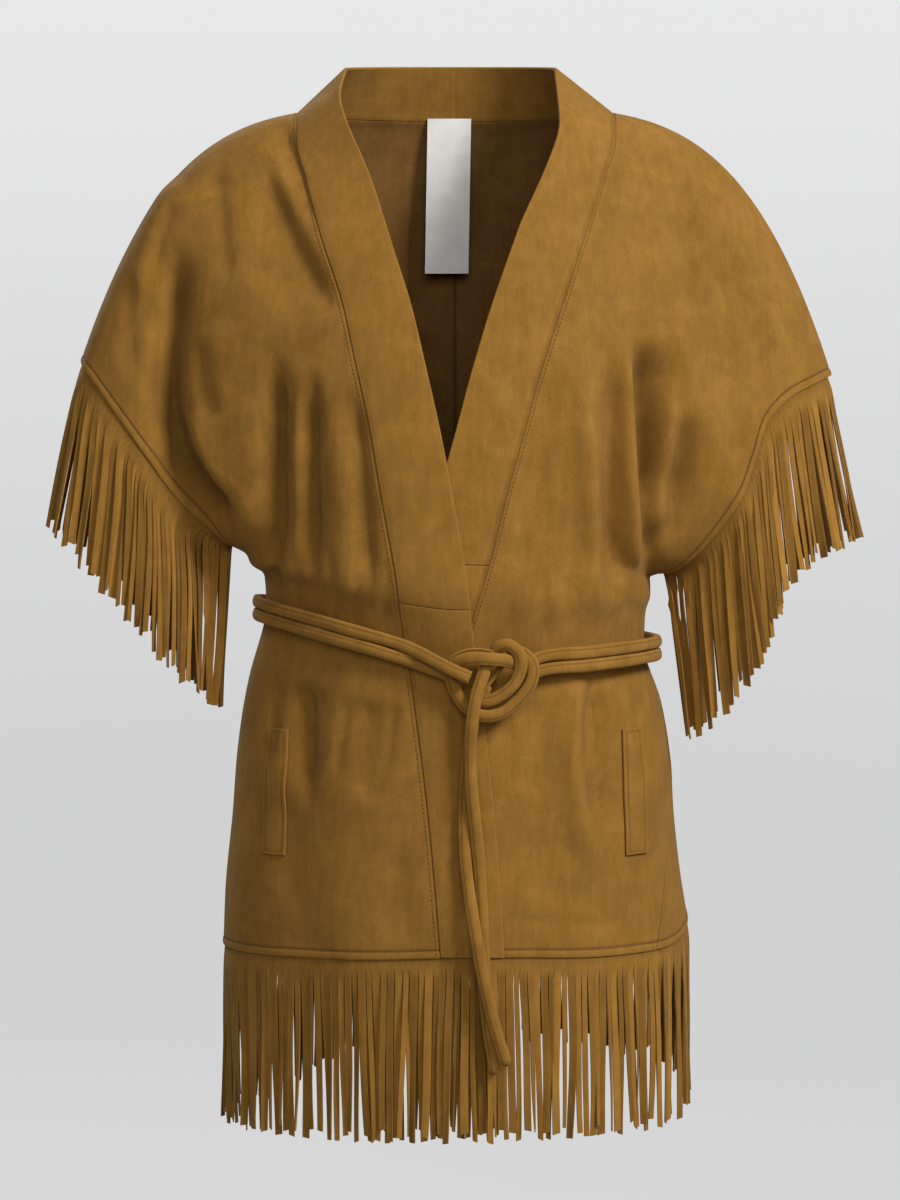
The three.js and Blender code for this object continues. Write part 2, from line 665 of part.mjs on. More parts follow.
// One strand of the belt round the waist, from the knot by the wearer's right and back again
const beltClear = 3.4;
const beltTurn = { from: -9, to: -336, steps: 22 };
const beltIntoKnot = { rightX: 18, leftX: 40, deeper: 1, closer: 0.7 };
function beltPath(drop) {
  const stand = panelThick / 2 + seamGap + cordDeep / 2 + beltClear;
  const { rightX, leftX, deeper, closer } = beltIntoKnot;
  const points = [new THREE.Vector3(rightX, knotCentre.y + deeper, knotCentre.z - drop * closer)];
  for (let i = 0; i <= beltTurn.steps; i += 1) {
    const degrees = THREE.MathUtils.lerp(beltTurn.from, beltTurn.to, i / beltTurn.steps);
    const angle = THREE.MathUtils.degToRad(degrees);
    const spot = ringPoint(angle, levelOf.waist);
    const normal = ringNormal(angle, levelOf.waist).setZ(0).normalize();
    const over = Math.cos(angle) > 0 ? wrapOver(spot.x, spot.z) : 0;
    spot.addScaledVector(normal, stand + over);
    spot.z -= drop;
    points.push(spot);
  }
  points.push(new THREE.Vector3(leftX, knotCentre.y + deeper, knotCentre.z - drop * closer));
  return points;
}
const beltApart = 0.7;
const beltDrop = (cordWide + beltApart) / 2;
const waistPaths = { upper: beltPath(-beltDrop), lower: beltPath(beltDrop) };
const knotShare = { from: 0.042, to: 0.958, apart: 0.0008 };
const tailShare = { from: 0.15, apart: 0.0026 };
const waistSteps = 26;
const tailSteps = { path: 12, cord: 14 };
const cordPoints = (rows) => rows.map((row) => new THREE.Vector3(row.x, row.y, row.z));

// Solids joined into one
const wasm = await Module();
wasm.setup();
function joined(geometries) {
  const solids = geometries.map((geometry) => {
    const bare = geometry.clone();
    bare.deleteAttribute('normal');
    bare.deleteAttribute('uv');
    const merged = mergeVertices(bare, 1e-3);
    return new wasm.Manifold(new wasm.Mesh({
      numProp: 3,
      vertProperties: new Float32Array(merged.attributes.position.array),
      triVerts: new Uint32Array(merged.index.array),
    }));
  });
  const whole = solids.reduce((sum, solid) => sum.add(solid)).getMesh();
  const geometry = new THREE.BufferGeometry();
  geometry.setAttribute('position', new THREE.Float32BufferAttribute(whole.vertProperties, 3));
  geometry.setIndex(Array.from(whole.triVerts));
  geometry.computeVertexNormals();
  return geometry;
}

// The knot's turns of cord and the strand that crosses them, from the middle of the knot
const turnColumns = ['wide', 'tall', 'x', 'y', 'z', 'tilt', 'steps'];
const knotTurns = table(turnColumns, {
  outer: [30, 22, 2, 0, 0, 2.5, 12],
  inner: [19, 19, -3, -3, 2, 2, 10],
});
const knotAcross = table(tailColumns, {
  right: [-27, -5, 2],
  over: [-16, -11, 13],
  top: [2, -12, 15],
  left: [18, -7, 9],
});
const turnOpen = 0.97;
const turnLead = 0.6;
const acrossSteps = 6;
const startSteps = 3;

// The knot: two turns of cord and a strand across the front, with the starts of what leaves it
function knot() {
  const turns = knotTurns.map((row) => {
    const points = [];
    for (let i = 0; i <= row.steps; i += 1) {
      const t = (i / row.steps) * Math.PI * 2 * turnOpen;
      const spot = new THREE.Vector3(
        row.x + row.wide * Math.cos(t),
        row.y + row.tilt * Math.cos(t + turnLead),
        row.z + row.tall * Math.sin(t),
      );
      points.push(spot.add(knotCentre));
    }
    return cord(points, row.steps);
  });
  const across = cord(cordPoints(knotAcross).map((spot) => spot.add(knotCentre)), acrossSteps);
  const start = (points, from, to) => cord(stretch(points, from, to, startSteps), startSteps);
  const strands = Object.values(waistPaths).flatMap((path) => [
    start(path, 0, knotShare.from),
    start(path, knotShare.to, 1),
  ]);
  const tails = [frontTail, backTail].map((rows) => start(cordPoints(rows), 0, tailShare.from));
  return joined([...turns, across, ...strands, ...tails]);
}

// The pocket welt, a strip that lies on a front
const welt = { innerX: 128, outerX: 145, topZ: -474, lowZ: -570, slant: 2, rows: 8, columns: 3 };
function pocketWelt(side) {
  const lift = panelThick / 2 + 2 * seamGap + weltThick / 2;
  const grid = [];
  for (let i = 0; i <= welt.rows; i += 1) {
    const up = i / welt.rows;
    const z = THREE.MathUtils.lerp(welt.lowZ, welt.topZ, up);
    const row = [];
    for (let j = 0; j <= welt.columns; j += 1) {
      const x = THREE.MathUtils.lerp(welt.innerX, welt.outerX, j / welt.columns) - welt.slant * (up - 0.5);
      row.push(frontSpot(side * x, z, lift));
    }
    grid.push(side < 0 ? row.reverse() : row);
  }
  return wall(grid, weltThick);
}

// A point on a front by its x and height
function frontSpot(x, z, lift) {
  const rounds = 20;
  const step = 0.05;
  let level = levelOf.hip;
  let angle = 0;
  for (let i = 0; i < rounds; i += 1) {
    angle = angleAt(level, x, true);
    const here = ringPoint(angle, level).z;
    const rise = ringPoint(angle, level + step).z - here;
    level += step * (z - here) / rise;
  }
  return clothPoint(angle, level, { lift, over: x < 0 });
}

// The blank label that hangs inside the nape, leaning away from the cloth and curling back
const label = {
  leftX: 13,
  rightX: -22,
  topZ: 5,
  long: 124,
  clear: 4.5,
  away: 2.2,
  curl: 1.4,
  lean: -2.2,
  rows: 4,
};
function napeLabel() {
  const grid = [];
  for (let i = 0; i <= label.rows; i += 1) {
    const t = 1 - i / label.rows;
    const y = napeY - label.clear - label.away * Math.sin(t * Math.PI / 2) + label.curl * t * t;
    grid.push([label.leftX, label.rightX].map((x) => ({
      point: new THREE.Vector3(x + label.lean * t, y, label.topZ - label.long * t),
      normal: new THREE.Vector3(0, 1, 0),
    })));
  }
  return wall(grid, labelThick);
}

const suedeFinish = { color: 0x9a6a2c, roughness: 0.95, metalness: 0 };
const bandFinish = { color: 0x96682c, roughness: 0.95, metalness: 0 };
const cordFinish = { color: 0x94672e, roughness: 0.9, metalness: 0 };
const labelFinish = { color: 0xd2d2cd, roughness: 0.6, metalness: 0 };

const cape = new THREE.Group();
function piece(name, geometry, finish) {
  const mesh = new THREE.Mesh(geometry, new THREE.MeshStandardMaterial(finish));
  mesh.name = name;
  cape.add(mesh);
}

const fronts = { right: frontGrid(-1), left: frontGrid(1) };
const backs = { right: backGrid(-1), left: backGrid(1) };
const bands = {
  lower_right: bandGrid(-1, 0, joinLevels.right, false),
  upper_right: bandGrid(-1, joinLevels.right, topLevel, true),
  lower_left: bandGrid(1, 0, joinLevels.left, false),
  upper_left: bandGrid(1, joinLevels.left, topLevel, true),
};
for (const [name, rows] of Object.entries(fronts)) piece(`front_${name}`, wall(rows, panelThick), suedeFinish);
for (const [name, rows] of Object.entries(backs)) piece(`back_${name}`, wall(rows, panelThick), suedeFinish);
for (const [name, rows] of Object.entries(bands)) piece(`band_${name}`, wall(rows, bandThick), bandFinish);

const rightHem = [...fronts.right[0], ...bands.lower_right[0]];
const leftHem = [...bands.lower_left[0], ...fronts.left[0]];
const backHem = [...backs.left[0], ...backs.right[0]];
piece('hem_fringe_right', hemFringe(rightHem, strandCount.hemRight, hemLean.right), suedeFinish);
piece('hem_fringe_left', hemFringe(leftHem, strandCount.hemLeft, hemLean.left), suedeFinish);
piece('hem_fringe_back', hemFringe(backHem, strandCount.hemBack, hemLean.back), suedeFinish);
for (const [side, name] of [[-1, 'right'], [1, 'left']]) {
  const count = strandCount.halfSleeve;
  piece(`sleeve_fringe_${name}_front`, sleeveFringe(fronts[name], side, true, count), suedeFinish);
  piece(`sleeve_fringe_${name}_back`, sleeveFringe(backs[name], side, false, count), suedeFinish);
  piece(`pocket_welt_${name}`, pocketWelt(side), suedeFinish);
}

piece('belt_knot', knot(), cordFinish);
for (const [name, path] of Object.entries(waistPaths)) {
  const { from, to, apart } = knotShare;
  const run = stretch(path, from + apart, to - apart, waistSteps);
  piece(`belt_waist_${name}`, cord(run, waistSteps), cordFinish);
}
for (const [name, rows] of [['front', frontTail], ['back', backTail]]) {
  const run = stretch(cordPoints(rows), tailShare.from + tailShare.apart, 1, tailSteps.path);
  piece(`belt_tail_${name}`, cord(run, tailSteps.cord), cordFinish);
}
piece('nape_label', napeLabel(), labelFinish);

export default cape;
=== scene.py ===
import math

import bmesh
import bpy
import numpy as np
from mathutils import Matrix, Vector


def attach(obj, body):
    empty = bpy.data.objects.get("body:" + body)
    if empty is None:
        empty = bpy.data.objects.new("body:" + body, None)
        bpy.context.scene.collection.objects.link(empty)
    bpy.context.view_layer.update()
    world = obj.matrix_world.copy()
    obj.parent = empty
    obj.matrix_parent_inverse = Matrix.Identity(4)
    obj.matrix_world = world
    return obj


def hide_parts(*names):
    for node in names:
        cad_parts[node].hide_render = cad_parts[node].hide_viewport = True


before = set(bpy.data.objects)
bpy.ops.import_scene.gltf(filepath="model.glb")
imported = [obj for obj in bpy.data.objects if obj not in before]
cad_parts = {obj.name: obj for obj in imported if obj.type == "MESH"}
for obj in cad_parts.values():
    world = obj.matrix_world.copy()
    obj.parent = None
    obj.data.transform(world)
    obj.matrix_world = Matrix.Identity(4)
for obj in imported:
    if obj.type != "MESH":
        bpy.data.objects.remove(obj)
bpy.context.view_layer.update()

bl_info = {
    "name": "Suede wrap cape",
    "version": (1, 0, 0),
    "blender": (4, 5, 0),
    "location": "View3D > Sidebar > Cape",
    "description": "Builds the looks of a belted suede cape with cut fringe round its packed frame",
    "category": "Object",
}

# The cloth is worked out in millimetres, as the frame's source is, and placed in metres
MM = 0.001
QUARTER = math.pi / 2
SIDE_TURN = QUARTER - 0.0005

SHOULDER_POINT_X = 121.0
NAPE_Y = 85.0
BAND_STAND = {"top_z": 44.5, "top_y": 68.0, "clear": -1.0}
WRAP_LIFT = 4.0
NECK_LEAVE = {"start": 12.0, "end": 14.0}
JOIN_HEIGHT = {"right": -374.0, "left": -348.0}


def table(columns, rows):
    """Rows with named columns, as one array for each column."""
    values = np.array(list(rows.values()), dtype=float)
    return {column: values[:, i] for i, column in enumerate(columns)}


SECTION_COLUMNS = (
    "front_z", "back_z", "right_x", "right_z", "left_x", "left_z", "curve", "back_curve",
    "front_deep", "back_deep", "middle_y", "open", "turn", "nape",
)
SECTIONS = table(SECTION_COLUMNS, {
    "hem": (-640, -614, -183, -652, 183, -645, 1.2, 6, 137, 130, 22, 0, 32, 0),
    "low hip": (-592, -572, -180, -601, 177, -594, 1.4, 5, 135, 127, 20, 0, 23, 0),
    "hip": (-545, -530, -175, -550, 172, -548, 1.6, 3.5, 131, 122, 18, 0, 12, 0),
    "high hip": (-498, -486, -171, -495, 169, -503, 2, 2.5, 127, 115, 15, 0, 3, 0),
    "below belt": (-458, -440, -161, -438, 161, -459, 1.4, 2, 119, 103, 10, 0, 0, 0),
    "waist": (-429, -402, -147, -384, 147, -415, 0.7, 2, 112, 95, 5, 0, 0, 0),
    "above belt": (-398, -372, -148, -360, 148, -389, 0.9, 2, 118, 108, 3, 0, 0, 0),
    "blouse": (-368, -350, -158, -350, 152, -374, 1.4, 2, 123, 113, 1, 0, 0, 0),
    "underarm": (-338, -325, -163, -341, 152, -361, 2.4, 2.4, 120, 113, 0, 0, 0, 0),
    "sleeve a": (-290, -285, -182, -331, 172, -354, 2.6, 2.6, 119, 112, 0, 20, 0, 0),
    "sleeve b": (-240, -238, -200, -315, 190, -339, 2.8, 2.8, 116, 110, 0, 34, 0, 0.06),
    "sleeve c": (-190, -190, -217, -295, 207, -317, 3, 3, 109, 105, 0, 43, 0, 0.2),
    "sleeve d": (-140, -140, -235, -268, 220, -296, 3.2, 3.2, 98, 96, 0, 48, 0, 0.42),
    "sleeve e": (-90, -90, -251, -245, 229, -270, 3.5, 3.5, 84, 83, 0, 48, 0, 0.65),
    "sleeve f": (-50, -50, -265, -226, 238, -242, 3.8, 3.8, 66, 66, 0, 44, 0, 0.82),
    "sleeve g": (-22, -22, -277, -210, 256, -222, 4, 4, 47, 48, 0, 36, 0, 0.93),
    "sleeve h": (-4, -4, -286, -199, 278, -210, 4.2, 4.2, 26, 28, 0, 24, 0, 0.98),
    "shoulder": (4, 4, -291, -192.5, 293, -203, 4.4, 4.4, 0, 0, 0, 0, 0, 1),
})
UNDERARM = 8.0
WAIST = 5.0
TOP = 17.0

BAND_COLUMNS = ("z", "free", "seam")
BAND_EDGES = {
    "right": table(BAND_COLUMNS, {
        "hem": (-660, 37, -9),
        "low hip": (-600, 34, -13.7),
        "hip": (-550, 30.3, -18.2),
        "high hip": (-500, 25.4, -23.5),
        "below belt": (-450, 19.3, -29.9),
        "above belt": (-400, 13.4, -36.8),
        "blouse": (-350, 7.4, -44.2),
        "under bust": (-300, -1, -53.2),
        "bust": (-250, -10.4, -62.4),
        "chest": (-200, -21.6, -73.4),
        "high chest": (-150, -33.7, -84.6),
        "collarbone": (-100, -50, -101),
        "neck front": (-52, -66, -113),
        "neck side": (-25, -80, -120),
        "shoulder": (10, -84, -121),
    }),
    "left": table(BAND_COLUMNS, {
        "hem": (-660, -69, -21),
        "low hip": (-600, -65, -17),
        "hip": (-550, -61, -13),
        "high hip": (-500, -56, -8),
        "below belt": (-450, -50, -2),
        "above belt": (-400, -40, 9),
        "blouse": (-350, -27, 24.5),
        "under bust": (-300, -14, 37),
        "bust": (-250, 0, 51),
        "chest": (-200, 13.4, 65),
        "high chest": (-150, 28.6, 81.6),
        "collarbone": (-100, 46.4, 98),
        "neck front": (-52, 66, 112),
        "neck side": (-25, 78, 120),
        "shoulder": (10, 77, 121),
    }),
}
NECK_COLUMNS = ("level", "x", "y", "z")
NECK_EDGES = {
    "right": table(NECK_COLUMNS, {
        "collarbone": (13, -50, -86, -95),
        "front": (14, -66, -68, -50),
        "front side": (15, -81.5, -56, -14),
        "side": (16, -87.5, -36, 11),
        "shoulder": (17, -84, -2, 34),
    }),
    "left": table(NECK_COLUMNS, {
        "collarbone": (13, 47, -86, -95),
        "front": (14, 69, -68, -47),
        "front side": (15, 79, -56, -13),
        "side": (16, 78, -36, 11),
        "shoulder": (17, 77, -2, 34),
    }),
}

# The share of a fold's half length over which each end dies away
FOLD_END = 0.5

# Folds: three points along each, how far it spreads on either hand, and its depth. Below zero
# is a trough and above zero a ridge. The large ones are the frame's own.
FOLD_COLUMNS = ("x1", "z1", "x2", "z2", "x3", "z3", "spread_left", "spread_right", "deep")
FRONT_FOLDS = table(FOLD_COLUMNS, {
    "right sleeve pleat": (-216, -100, -222, -190, -222, -262, 10, 22, -13),
    "right web": (-218, -226, -201, -280, -160, -320, 15, 11, -17),
    "right chest drag": (-150, -60, -134, -115, -116, -172, 20, 18, -6),
    "right bust drop": (-133, -195, -132, -270, -131, -350, 17, 15, -10),
    "right front drop": (-106, -215, -106, -280, -104, -350, 12, 13, -6),
    "right sleeve crease": (-206, -52, -226, -100, -240, -160, 14, 14, 6),
    "right hip gather": (-112, -436, -114, -470, -116, -520, 13, 13, -6),
    "right hip pleat": (-62, -446, -66, -480, -68, -530, 14, 14, -4),
    "left web": (147, -176, 151, -245, 153, -318, 10, 22, -18),
    "left side drop": (121, -180, 121, -280, 121, -376, 15, 14, -8),
    "left side ridge": (99, -215, 103, -300, 107, -390, 13, 12, 5),
    "left sleeve drop": (206, -80, 208, -160, 206, -240, 20, 18, -6),
    "left skirt ridge": (102, -436, 88, -494, 112, -594, 14, 13, 5),
    "left skirt trough": (108, -438, 111, -490, 114, -555, 12, 12, -7),
    "left hip gather": (60, -445, 62, -480, 60, -525, 14, 14, -4),
})
BACK_FOLDS = table(FOLD_COLUMNS, {
    "left blade drop": (128, -150, 122, -240, 112, -350, 20, 20, -9),
    "right blade drop": (-130, -140, -126, -240, -116, -350, 20, 20, -10),
    "left sleeve drop": (210, -95, 212, -170, 200, -250, 20, 20, -7),
    "right sleeve drop": (-214, -90, -218, -165, -206, -250, 20, 20, -8),
    "left waist gather": (62, -330, 60, -365, 57, -396, 14, 14, -6),
    "right waist gather": (-70, -325, -66, -362, -62, -396, 14, 14, -7),
    "left skirt drop": (84, -412, 92, -480, 104, -580, 18, 18, -8),
    "right skirt drop": (-58, -412, -70, -480, -84, -570, 18, 18, -7),
})
# Small creases that the frame leaves out
FRONT_CREASES = table(FOLD_COLUMNS, {
    "right band drag": (-137, -6, -119, -50, -104, -102, 9, 7, -6.5),
    "right neck valley": (-152, -38, -122, -100, -90, -166, 12, 8, -7),
    "right shoulder pull": (-184, -44, -178, -84, -170, -150, 9, 7, -3),
    "right outer crease": (-206, -62, -227, -112, -238, -180, 7, 8, -5),
    "right sleeve soft": (-246, -120, -248, -168, -246, -214, 8, 7, -2.4),
    "right sleeve low": (-196, -170, -192, -210, -182, -246, 8, 9, -3.4),
    "right web fold": (-206, -220, -184, -284, -148, -324, 12, 13, 6),
    "right web edge": (-228, -176, -213, -268, -158, -340, 10, 9, -6.5),
    "right pleat edge": (-210, -96, -220, -186, -221, -264, 6, 9, -7.5),
    "right breast fall": (-79, -212, -68, -290, -62, -384, 10, 7, -6.5),
    "right bust crease": (-130, -186, -138, -270, -134, -388, 9, 6, -7.5),
    "right front crease": (-104, -200, -109, -276, -104, -392, 8, 6, -7.5),
    "right under bust": (-118, -204, -122, -280, -119, -366, 5, 5, 2.5),
    "right blouse one": (-146, -318, -141, -348, -136, -378, 6, 5, -3),
    "right blouse two": (-119, -336, -120, -360, -117, -388, 5, 5, -2.2),
    "right blouse three": (-94, -330, -92, -358, -90, -390, 6, 5, -2.6),
    "right blouse four": (-72, -352, -73, -370, -76, -394, 5, 5, -1.8),
    "right blouse five": (-52, -340, -50, -366, -52, -400, 6, 5, -1.6),
    "right hip one": (-138, -432, -140, -466, -145, -506, 6, 6, -4),
    "right hip two": (-114, -436, -112, -474, -110, -540, 8, 6, -5),
    "right hip three": (-80, -444, -84, -476, -90, -520, 5, 5, -2),
    "right hip four": (-44, -448, -47, -474, -52, -512, 5, 5, -1.8),
    "right skirt soft": (-128, -520, -126, -566, -122, -616, 12, 11, -2.6),
    "right skirt low": (-40, -560, -44, -596, -46, -634, 10, 12, -1.8),
    "left band drag": (128, -22, 110, -78, 92, -146, 6, 9, -3.4),
    "left shoulder pull": (176, -36, 180, -104, 178, -176, 10, 10, -4.6),
    "left sleeve soft": (236, -104, 238, -160, 230, -226, 8, 7, -2.6),
    "left body fold": (130, -166, 134, -275, 139, -388, 12, 6, 9),
    "left web edge": (134, -146, 146, -278, 149, -366, 7, 11, -12),
    "left web roll": (164, -204, 162, -272, 150, -342, 8, 8, 8),
    "left web second": (179, -226, 173, -284, 158, -342, 7, 10, -8),
    "left breast ridge": (96, -200, 102, -290, 105, -402, 9, 6, 5.5),
    "left breast hollow": (118, -176, 119, -270, 119, -384, 10, 8, -5.5),
    "left breast fall": (74, -200, 66, -262, 58, -338, 10, 9, -4.4),
    "left middle fall": (52, -262, 52, -312, 50, -366, 7, 7, -2.2),
    "left blouse one": (140, -338, 136, -366, 132, -396, 5, 6, -2.8),
    "left blouse two": (88, -350, 86, -378, 84, -404, 5, 5, -2.2),
    "left blouse three": (66, -346, 66, -378, 66, -408, 5, 5, -2.6),
    "left blouse four": (38, -362, 40, -386, 42, -412, 5, 5, -1.8),
    "left hip one": (138, -444, 142, -478, 146, -520, 6, 6, -2.8),
    "left hip two": (84, -446, 82, -474, 78, -510, 5, 5, -2.4),
    "left hip three": (38, -452, 40, -484, 40, -520, 6, 6, -2),
    "left skirt soft": (66, -540, 68, -586, 70, -634, 12, 12, -2.2),
    "left skirt edge": (101, -424, 87, -490, 112, -606, 10, 6, 5),
    "left skirt shade": (107, -426, 99, -490, 116, -580, 6, 12, -6.5),
    "left facing line": (20, -612, 84, -618, 140, -620, 4, 4, -0.9),
})
BACK_CREASES = table(FOLD_COLUMNS, {
    "left blade pull": (150, -70, 158, -120, 160, -176, 9, 9, -2),
    "right blade pull": (-146, -64, -156, -118, -162, -170, 9, 9, -2.2),
    "left under sleeve": (196, -236, 176, -284, 158, -330, 7, 9, -3),
    "right under sleeve": (-200, -228, -182, -276, -164, -322, 8, 8, -3.2),
    "left middle drop": (34, -190, 36, -262, 38, -340, 11, 10, -2.4),
    "right middle drop": (-30, -206, -34, -270, -38, -346, 10, 11, -2.2),
    "left blouse one": (128, -318, 126, -344, 122, -372, 6, 5, -2.6),
    "left blouse two": (92, -312, 90, -342, 86, -378, 5, 6, -3),
    "left blouse three": (26, -326, 25, -352, 22, -390, 5, 5, -2.2),
    "right blouse one": (-136, -310, -132, -338, -128, -366, 5, 6, -2.8),
    "right blouse two": (-96, -318, -92, -346, -90, -380, 6, 5, -2.4),
    "right blouse three": (-28, -318, -27, -350, -26, -388, 5, 5, -2.6),
    "left hip one": (126, -414, 130, -448, 134, -496, 6, 6, -2.6),
    "left hip two": (44, -414, 47, -446, 50, -494, 5, 6, -2.2),
    "left hip three": (18, -416, 18, -444, 20, -482, 5, 5, -1.8),
    "right hip one": (-124, -404, -128, -440, -134, -486, 6, 6, -2.8),
    "right hip two": (-90, -410, -94, -440, -100, -484, 5, 5, -2.2),
    "right hip three": (-24, -414, -26, -448, -26, -490, 5, 6, -2),
    "left skirt soft": (60, -520, 62, -560, 64, -604, 12, 12, -2.2),
    "right skirt soft": (-120, -508, -124, -556, -126, -604, 12, 11, -2.4),
})

# Where both turns of the belt run into the knot, and the two ends that hang from it
KNOT = {"y": -125.0, "z": -434.0}
FRONT_TAIL = (
    (23, -131, -421), (15.5, -134, -445), (12.6, -132, -464), (11.4, -129.8, -488),
    (12.4, -129.4, -514), (15.4, -127, -543), (18, -125.3, -570), (19.8, -125, -596),
    (20.8, -125.4, -622), (21.6, -126, -648), (23.5, -126.6, -680), (30, -126.6, -727),
)
BACK_TAIL = (
    (24, -122.5, -434), (17, -121.6, -454), (11, -121.4, -478), (8.6, -121.8, -504),
    (7, -123, -540), (8, -125.8, -568), (11, -130, -594), (15.6, -133.2, -622),
    (20, -134.2, -648), (27, -134, -680), (38.4, -131.5, -719.5),
)


def smooth(value):
    t = np.clip(value, 0, 1)
    return t * t * (3 - 2 * t)


def bump_at(distance, centre, wide):
    return np.exp(-(((distance - centre) / wide) ** 2))


def between(rows, column, at):
    """Steps between the rows of a table without overshoot."""
    values = rows[column]
    rise = np.diff(values)
    slope = np.empty_like(values)
    slope[0] = rise[0]
    slope[-1] = rise[-1]
    before = rise[:-1]
    after = rise[1:]
    least = np.minimum(np.minimum(abs(before), abs(after)), abs(before + after) / 4)
    slope[1:-1] = (np.sign(before) + np.sign(after)) * least
    at = np.asarray(at, dtype=float)
    i = np.clip(np.floor(at).astype(int), 0, len(values) - 2)
    t = np.clip(at - i, 0, 1)
    blend = t * t * (3 - 2 * t)
    leave = slope[i] * (t - 2 * t * t + t * t * t)
    arrive = slope[i + 1] * (t * t * t - t * t)
    return values[i] + rise[i] * blend + leave + arrive


def section(level):
    return {column: between(SECTIONS, column, level) for column in SECTION_COLUMNS}


def look_up(rows, by, column, value):
    """A value of a table by one of its own columns, such as height."""
    value = np.asarray(value, dtype=float)
    marks = rows[by]
    i = np.searchsorted(marks[1:-1], value, side="left")
    t = (value - marks[i]) / (marks[i + 1] - marks[i])
    return between(rows, column, i + np.clip(t, 0, 1))


def side_turn(row, angle):
    return np.radians(row["turn"]) * np.sin(angle) ** 2


def angle_at(level, x, on_front):
    """The angle at which a level has a given x, on the front or round the back."""
    row = section(level)
    middle = (row["left_x"] + row["right_x"]) / 2
    half = (row["left_x"] - row["right_x"]) / 2
    across = np.arcsin(np.clip((x - middle) / half, -1, 1))
    flat = across if on_front else math.pi - across
    angle = flat
    for _ in range(12):
        angle = flat + side_turn(row, angle)
    return angle


def ring_point(angle, level):
    """A point of the cloth before folds: 0 is mid front, a quarter turn the side, a half mid back."""
    angle, level = np.broadcast_arrays(np.asarray(angle, float), np.asarray(level, float))
    row = section(level)
    reach = np.abs(np.sin(angle))
    on_front = np.cos(angle) >= 0
    middle_z = np.where(on_front, row["front_z"], row["back_z"])
    end_z = np.where(np.sin(angle) < 0, row["right_z"], row["left_z"])
    power = np.where(on_front, row["curve"], row["back_curve"])
    z = middle_z + (end_z - middle_z) * reach ** power
    turned = angle - side_turn(row, angle)
    half = (row["left_x"] - row["right_x"]) / 2
    x = (row["left_x"] + row["right_x"]) / 2 + half * np.sin(turned)
    facing = np.where(np.cos(turned) >= 0, -1.0, 1.0)
    deep = np.where(facing < 0, row["front_deep"], row["back_deep"])
    round_neck = np.sqrt(np.maximum(0, 1 - (x / SHOULDER_POINT_X) ** 2))
    nape = np.where(facing < 0, 0, row["nape"] * NAPE_Y * round_neck)
    away = np.sqrt((deep * np.cos(turned)) ** 2 + (row["open"] * reach ** 2) ** 2 + nape ** 2)
    return np.stack([x, row["middle_y"] + facing * away, z], axis=-1)


def reach_along(points):
    """How far each point of a line lies along it."""
    return np.concatenate([[0], np.cumsum(np.linalg.norm(np.diff(points, axis=0), axis=-1))])


def at_marks(marks, reach, values):
    """Values of a line's points at marks along it."""
    return np.stack([np.interp(marks, reach, values[:, axis]) for axis in range(3)], axis=-1)


def unit(vectors):
    length = np.linalg.norm(vectors, axis=-1, keepdims=True)
    return vectors / np.maximum(length, 1e-9)


def ring_normal(angle, level):
    angle, level = np.broadcast_arrays(np.asarray(angle, float), np.asarray(level, float))
    turn = 0.01
    step = 0.04
    at_side = np.abs(np.sin(angle)) > math.cos(turn * 1.5)
    opened = at_side & (section(level)["open"] > 0.01)
    side = np.sign(np.sin(angle))
    towards_front = np.where(np.cos(angle) > 0, -1.0, 1.0)
    inward = angle + side * towards_front * turn * 2
    before = np.where(opened, np.minimum(inward, angle), angle - turn)
    after = np.where(opened, np.maximum(inward, angle), angle + turn)
    along = ring_point(after, level) - ring_point(before, level)
    up = ring_point(angle, np.minimum(level + step, TOP)) - ring_point(angle, np.maximum(level - step, 0))
    beside_neck = np.abs(ring_point(angle, level)[..., 0]) > SHOULDER_POINT_X - 1
    on_shoulder = (level > TOP - 0.01) & beside_neck
    over = np.zeros_like(up)
    over[..., 1] = np.where(np.cos(angle) > 0, 1.0, -1.0)
    up = np.where(on_shoulder[..., None], over, up)
    return unit(np.cross(along, up))


def fold_depth(folds, x, z):
    """How far the folds move a point of the cloth outwards."""
    pieces = 6
    total = np.zeros_like(x)
    steps = np.linspace(0, 1, pieces + 1)
    for k in range(len(folds["deep"])):
        one = {column: values[k] for column, values in folds.items()}
        a = (1 - steps) * (1 - 2 * steps)
        b = 4 * steps * (1 - steps)
        c = steps * (2 * steps - 1)
        line_x = a * one["x1"] + b * one["x2"] + c * one["x3"]
        line_z = a * one["z1"] + b * one["z2"] + c * one["z3"]
        nearest = np.full_like(x, 1e9)
        at = np.zeros_like(x)
        for i in range(pieces):
            run_x = line_x[i + 1] - line_x[i]
            run_z = line_z[i + 1] - line_z[i]
            t = ((x - line_x[i]) * run_x + (z - line_z[i]) * run_z) / (run_x ** 2 + run_z ** 2)
            t = np.clip(t, 0, 1)
            away = np.hypot(x - line_x[i] - t * run_x, z - line_z[i] - t * run_z)
            closer = away < nearest
            nearest = np.where(closer, away, nearest)
            at = np.where(closer, (i + t) / pieces, at)
        chord_x = one["x3"] - one["x1"]
        chord_z = one["z3"] - one["z1"]
        middle = at * one["x3"] + (1 - at) * one["x1"]
        middle_z = at * one["z3"] + (1 - at) * one["z1"]
        across = (x - middle) * chord_z - (z - middle_z) * chord_x
        spread = np.where(across > 0, one["spread_left"], one["spread_right"])
        fade = smooth((1 - np.abs(2 * at - 1)) / FOLD_END)
        total += one["deep"] * fade * np.exp(-((nearest / spread) ** 2))
    return total


